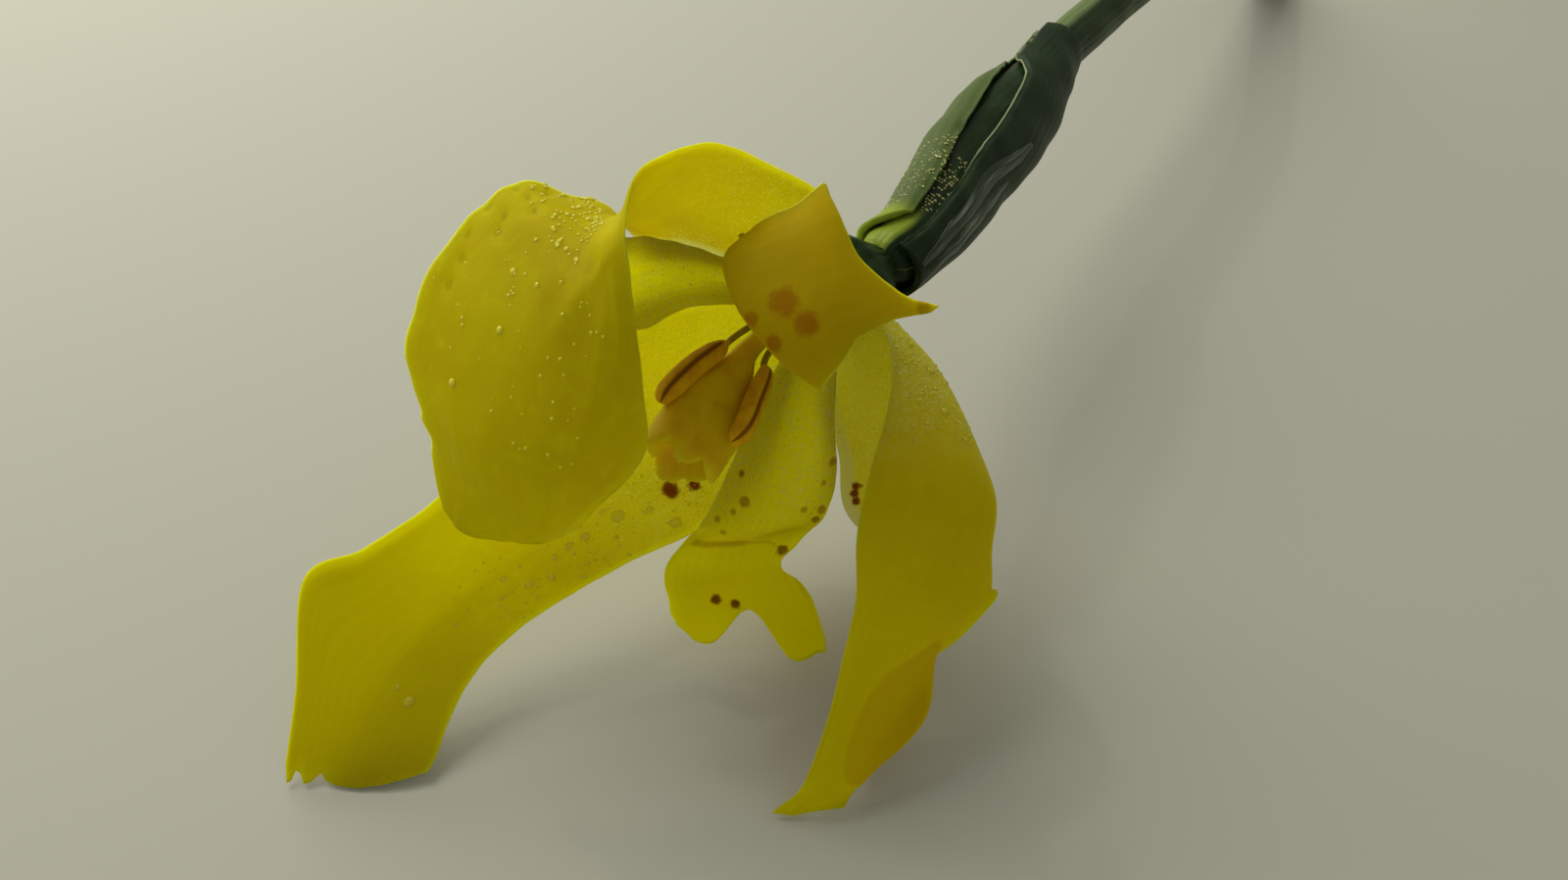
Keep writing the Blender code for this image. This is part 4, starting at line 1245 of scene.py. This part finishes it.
def dome(seat, facing, radius, phase):
    """The points and faces of one drop: rings that rise to a top, closed below the face."""
    sides, levels = (16, 5) if radius > LARGE_DROP else (7, 2)
    side = np.cross(facing, (0.3, 0.9, 0.3))
    side = side / np.linalg.norm(side)
    angle = round_angles(sides)[:, None]
    outward = np.cos(angle) * side + np.sin(angle) * np.cross(facing, side)
    outward = outward * (1 + 0.12 * np.cos(2 * angle + phase))
    climb = (0.5 * pi * np.arange(levels) / levels)[:, None, None]
    reach = radius * np.cos(climb) * np.where(climb > 0, 1.0, 1.02)
    height = facing * radius * DROP_HEIGHT
    rings = seat + reach * outward + height * np.sin(climb)
    points = [*rings.reshape(-1, 3), seat + height, seat - facing * DROP_ROOT]
    faces = [tuple(face) for face in grid_faces(levels, sides, closed=True)]
    last, top = (levels - 1) * sides, levels * sides
    for k in range(sides):
        m = (k + 1) % sides
        faces += [(last + k, last + m, top), (m, k, top + 1)]
    return points, faces


def add_drops(name, made, drops, material, fine, lift):
    """Drops that sit on a piece's face towards the camera, merged in one mesh."""
    _, middle, normal, row, t = made
    draw = np.random.default_rng(len(name) + 7)
    places = list(drops)
    for count, u0, u1, v0, v1, r0, r1 in fine:
        for _ in range(count):
            places.append((draw.uniform(u0, u1), draw.uniform(v0, v1), draw.uniform(r0, r1)))
    vertices, faces = [], []
    for u, v, radius in places:
        i = int(np.argmin(np.abs(row[:, row.shape[1] // 2] - v)))
        j = int(np.argmin(np.abs(t[0] - u)))
        point, facing = middle[i, j], normal[i, j]
        if np.dot(facing, CAMERA - BASE - point) < 0:
            facing = -facing
        drop, shell = dome(point + facing * lift, facing, radius, 5 * u)
        faces += [tuple(len(vertices) + k for k in face) for face in shell]
        vertices += drop
    add_mesh(name, vertices, faces, material)


def make_drops(made):
    in_light = water_material("dew_in_light", *DEW_IN_LIGHT)
    on_yellow = water_material("dew_on_tepals", *DEW_ON_TEPALS)
    on_green = water_material("dew_on_spathe", *DEW_ON_SPATHE)
    for node, fine in FINE_DROPS.items():
        water = on_green if node in DROP_LIFTS else on_yellow
        if node == "outer_tepal_top":
            water = in_light
        lift = DROP_LIFTS.get(node, BLADE_LIFT)
        add_drops("drops_on_" + node, made[node], DROPS.get(node, ()), water, fine, lift)


# Stage, light and camera


def make_stage():
    mesh = bpy.data.meshes.new("floor")
    signs = ((-1, -1), (1, -1), (1, 1), (-1, 1))
    corners = [(FLOOR_HALF * x, FLOOR_HALF * y, -FLOOR_BELOW) for x, y in signs]
    mesh.from_pydata(corners, [], [(0, 1, 2, 3)])
    mesh.materials.append(Nodes("floor", FLOOR_GREY).finish(0.9))
    floor = add_object("floor", mesh)


def add_light(name, azimuth, elevation, distance, size, power):
    """A square lamp that points at the frame's middle; angles in degrees, lengths in metres."""
    data = bpy.data.lights.new(name, "AREA")
    data.size = size
    data.energy = power
    data.color = DAYLIGHT
    light = add_object(name, data)
    a, e = radians(azimuth), radians(elevation)
    back = Vector((sin(a) * cos(e), -cos(a) * cos(e), sin(e)))
    light.location = back * distance
    light.rotation_euler = back.to_track_quat("Z", "Y").to_euler()


def make_light():
    """Soft light all round, a large window low on the left, and a small lamp that the drops reflect."""
    world = bpy.data.worlds.new("studio")
    world.use_nodes = True
    background = world.node_tree.nodes["Background"]
    background.inputs["Color"].default_value = (*SKY, 1)
    background.inputs["Strength"].default_value = SKY_STRENGTH
    bpy.context.scene.world = world
    add_light("window", *WINDOW)
    add_light("glint", *GLINT)
    bpy.context.scene.view_settings.view_transform = "Standard"


def make_camera():
    data = bpy.data.cameras.new("camera")
    data.lens = LENS
    data.sensor_width = SENSOR
    data.clip_start = 0.002
    data.clip_end = 10
    camera = add_object("camera", data)
    camera.location = Vector(CAMERA * MM)
    camera.rotation_euler = (pi / 2 - CAMERA_ELEVATION, 0, CAMERA_AZIMUTH)
    bpy.context.scene.camera = camera


make_camera()
make_stage()
make_light()
pieces = petals()
make_style()
make_stamens()
make_ovary()
pieces["spathe_outer_bract"] = make_outer_bract()
pieces["spathe_inner_bract"] = make_inner_bract()
make_stem()
make_drops(pieces)
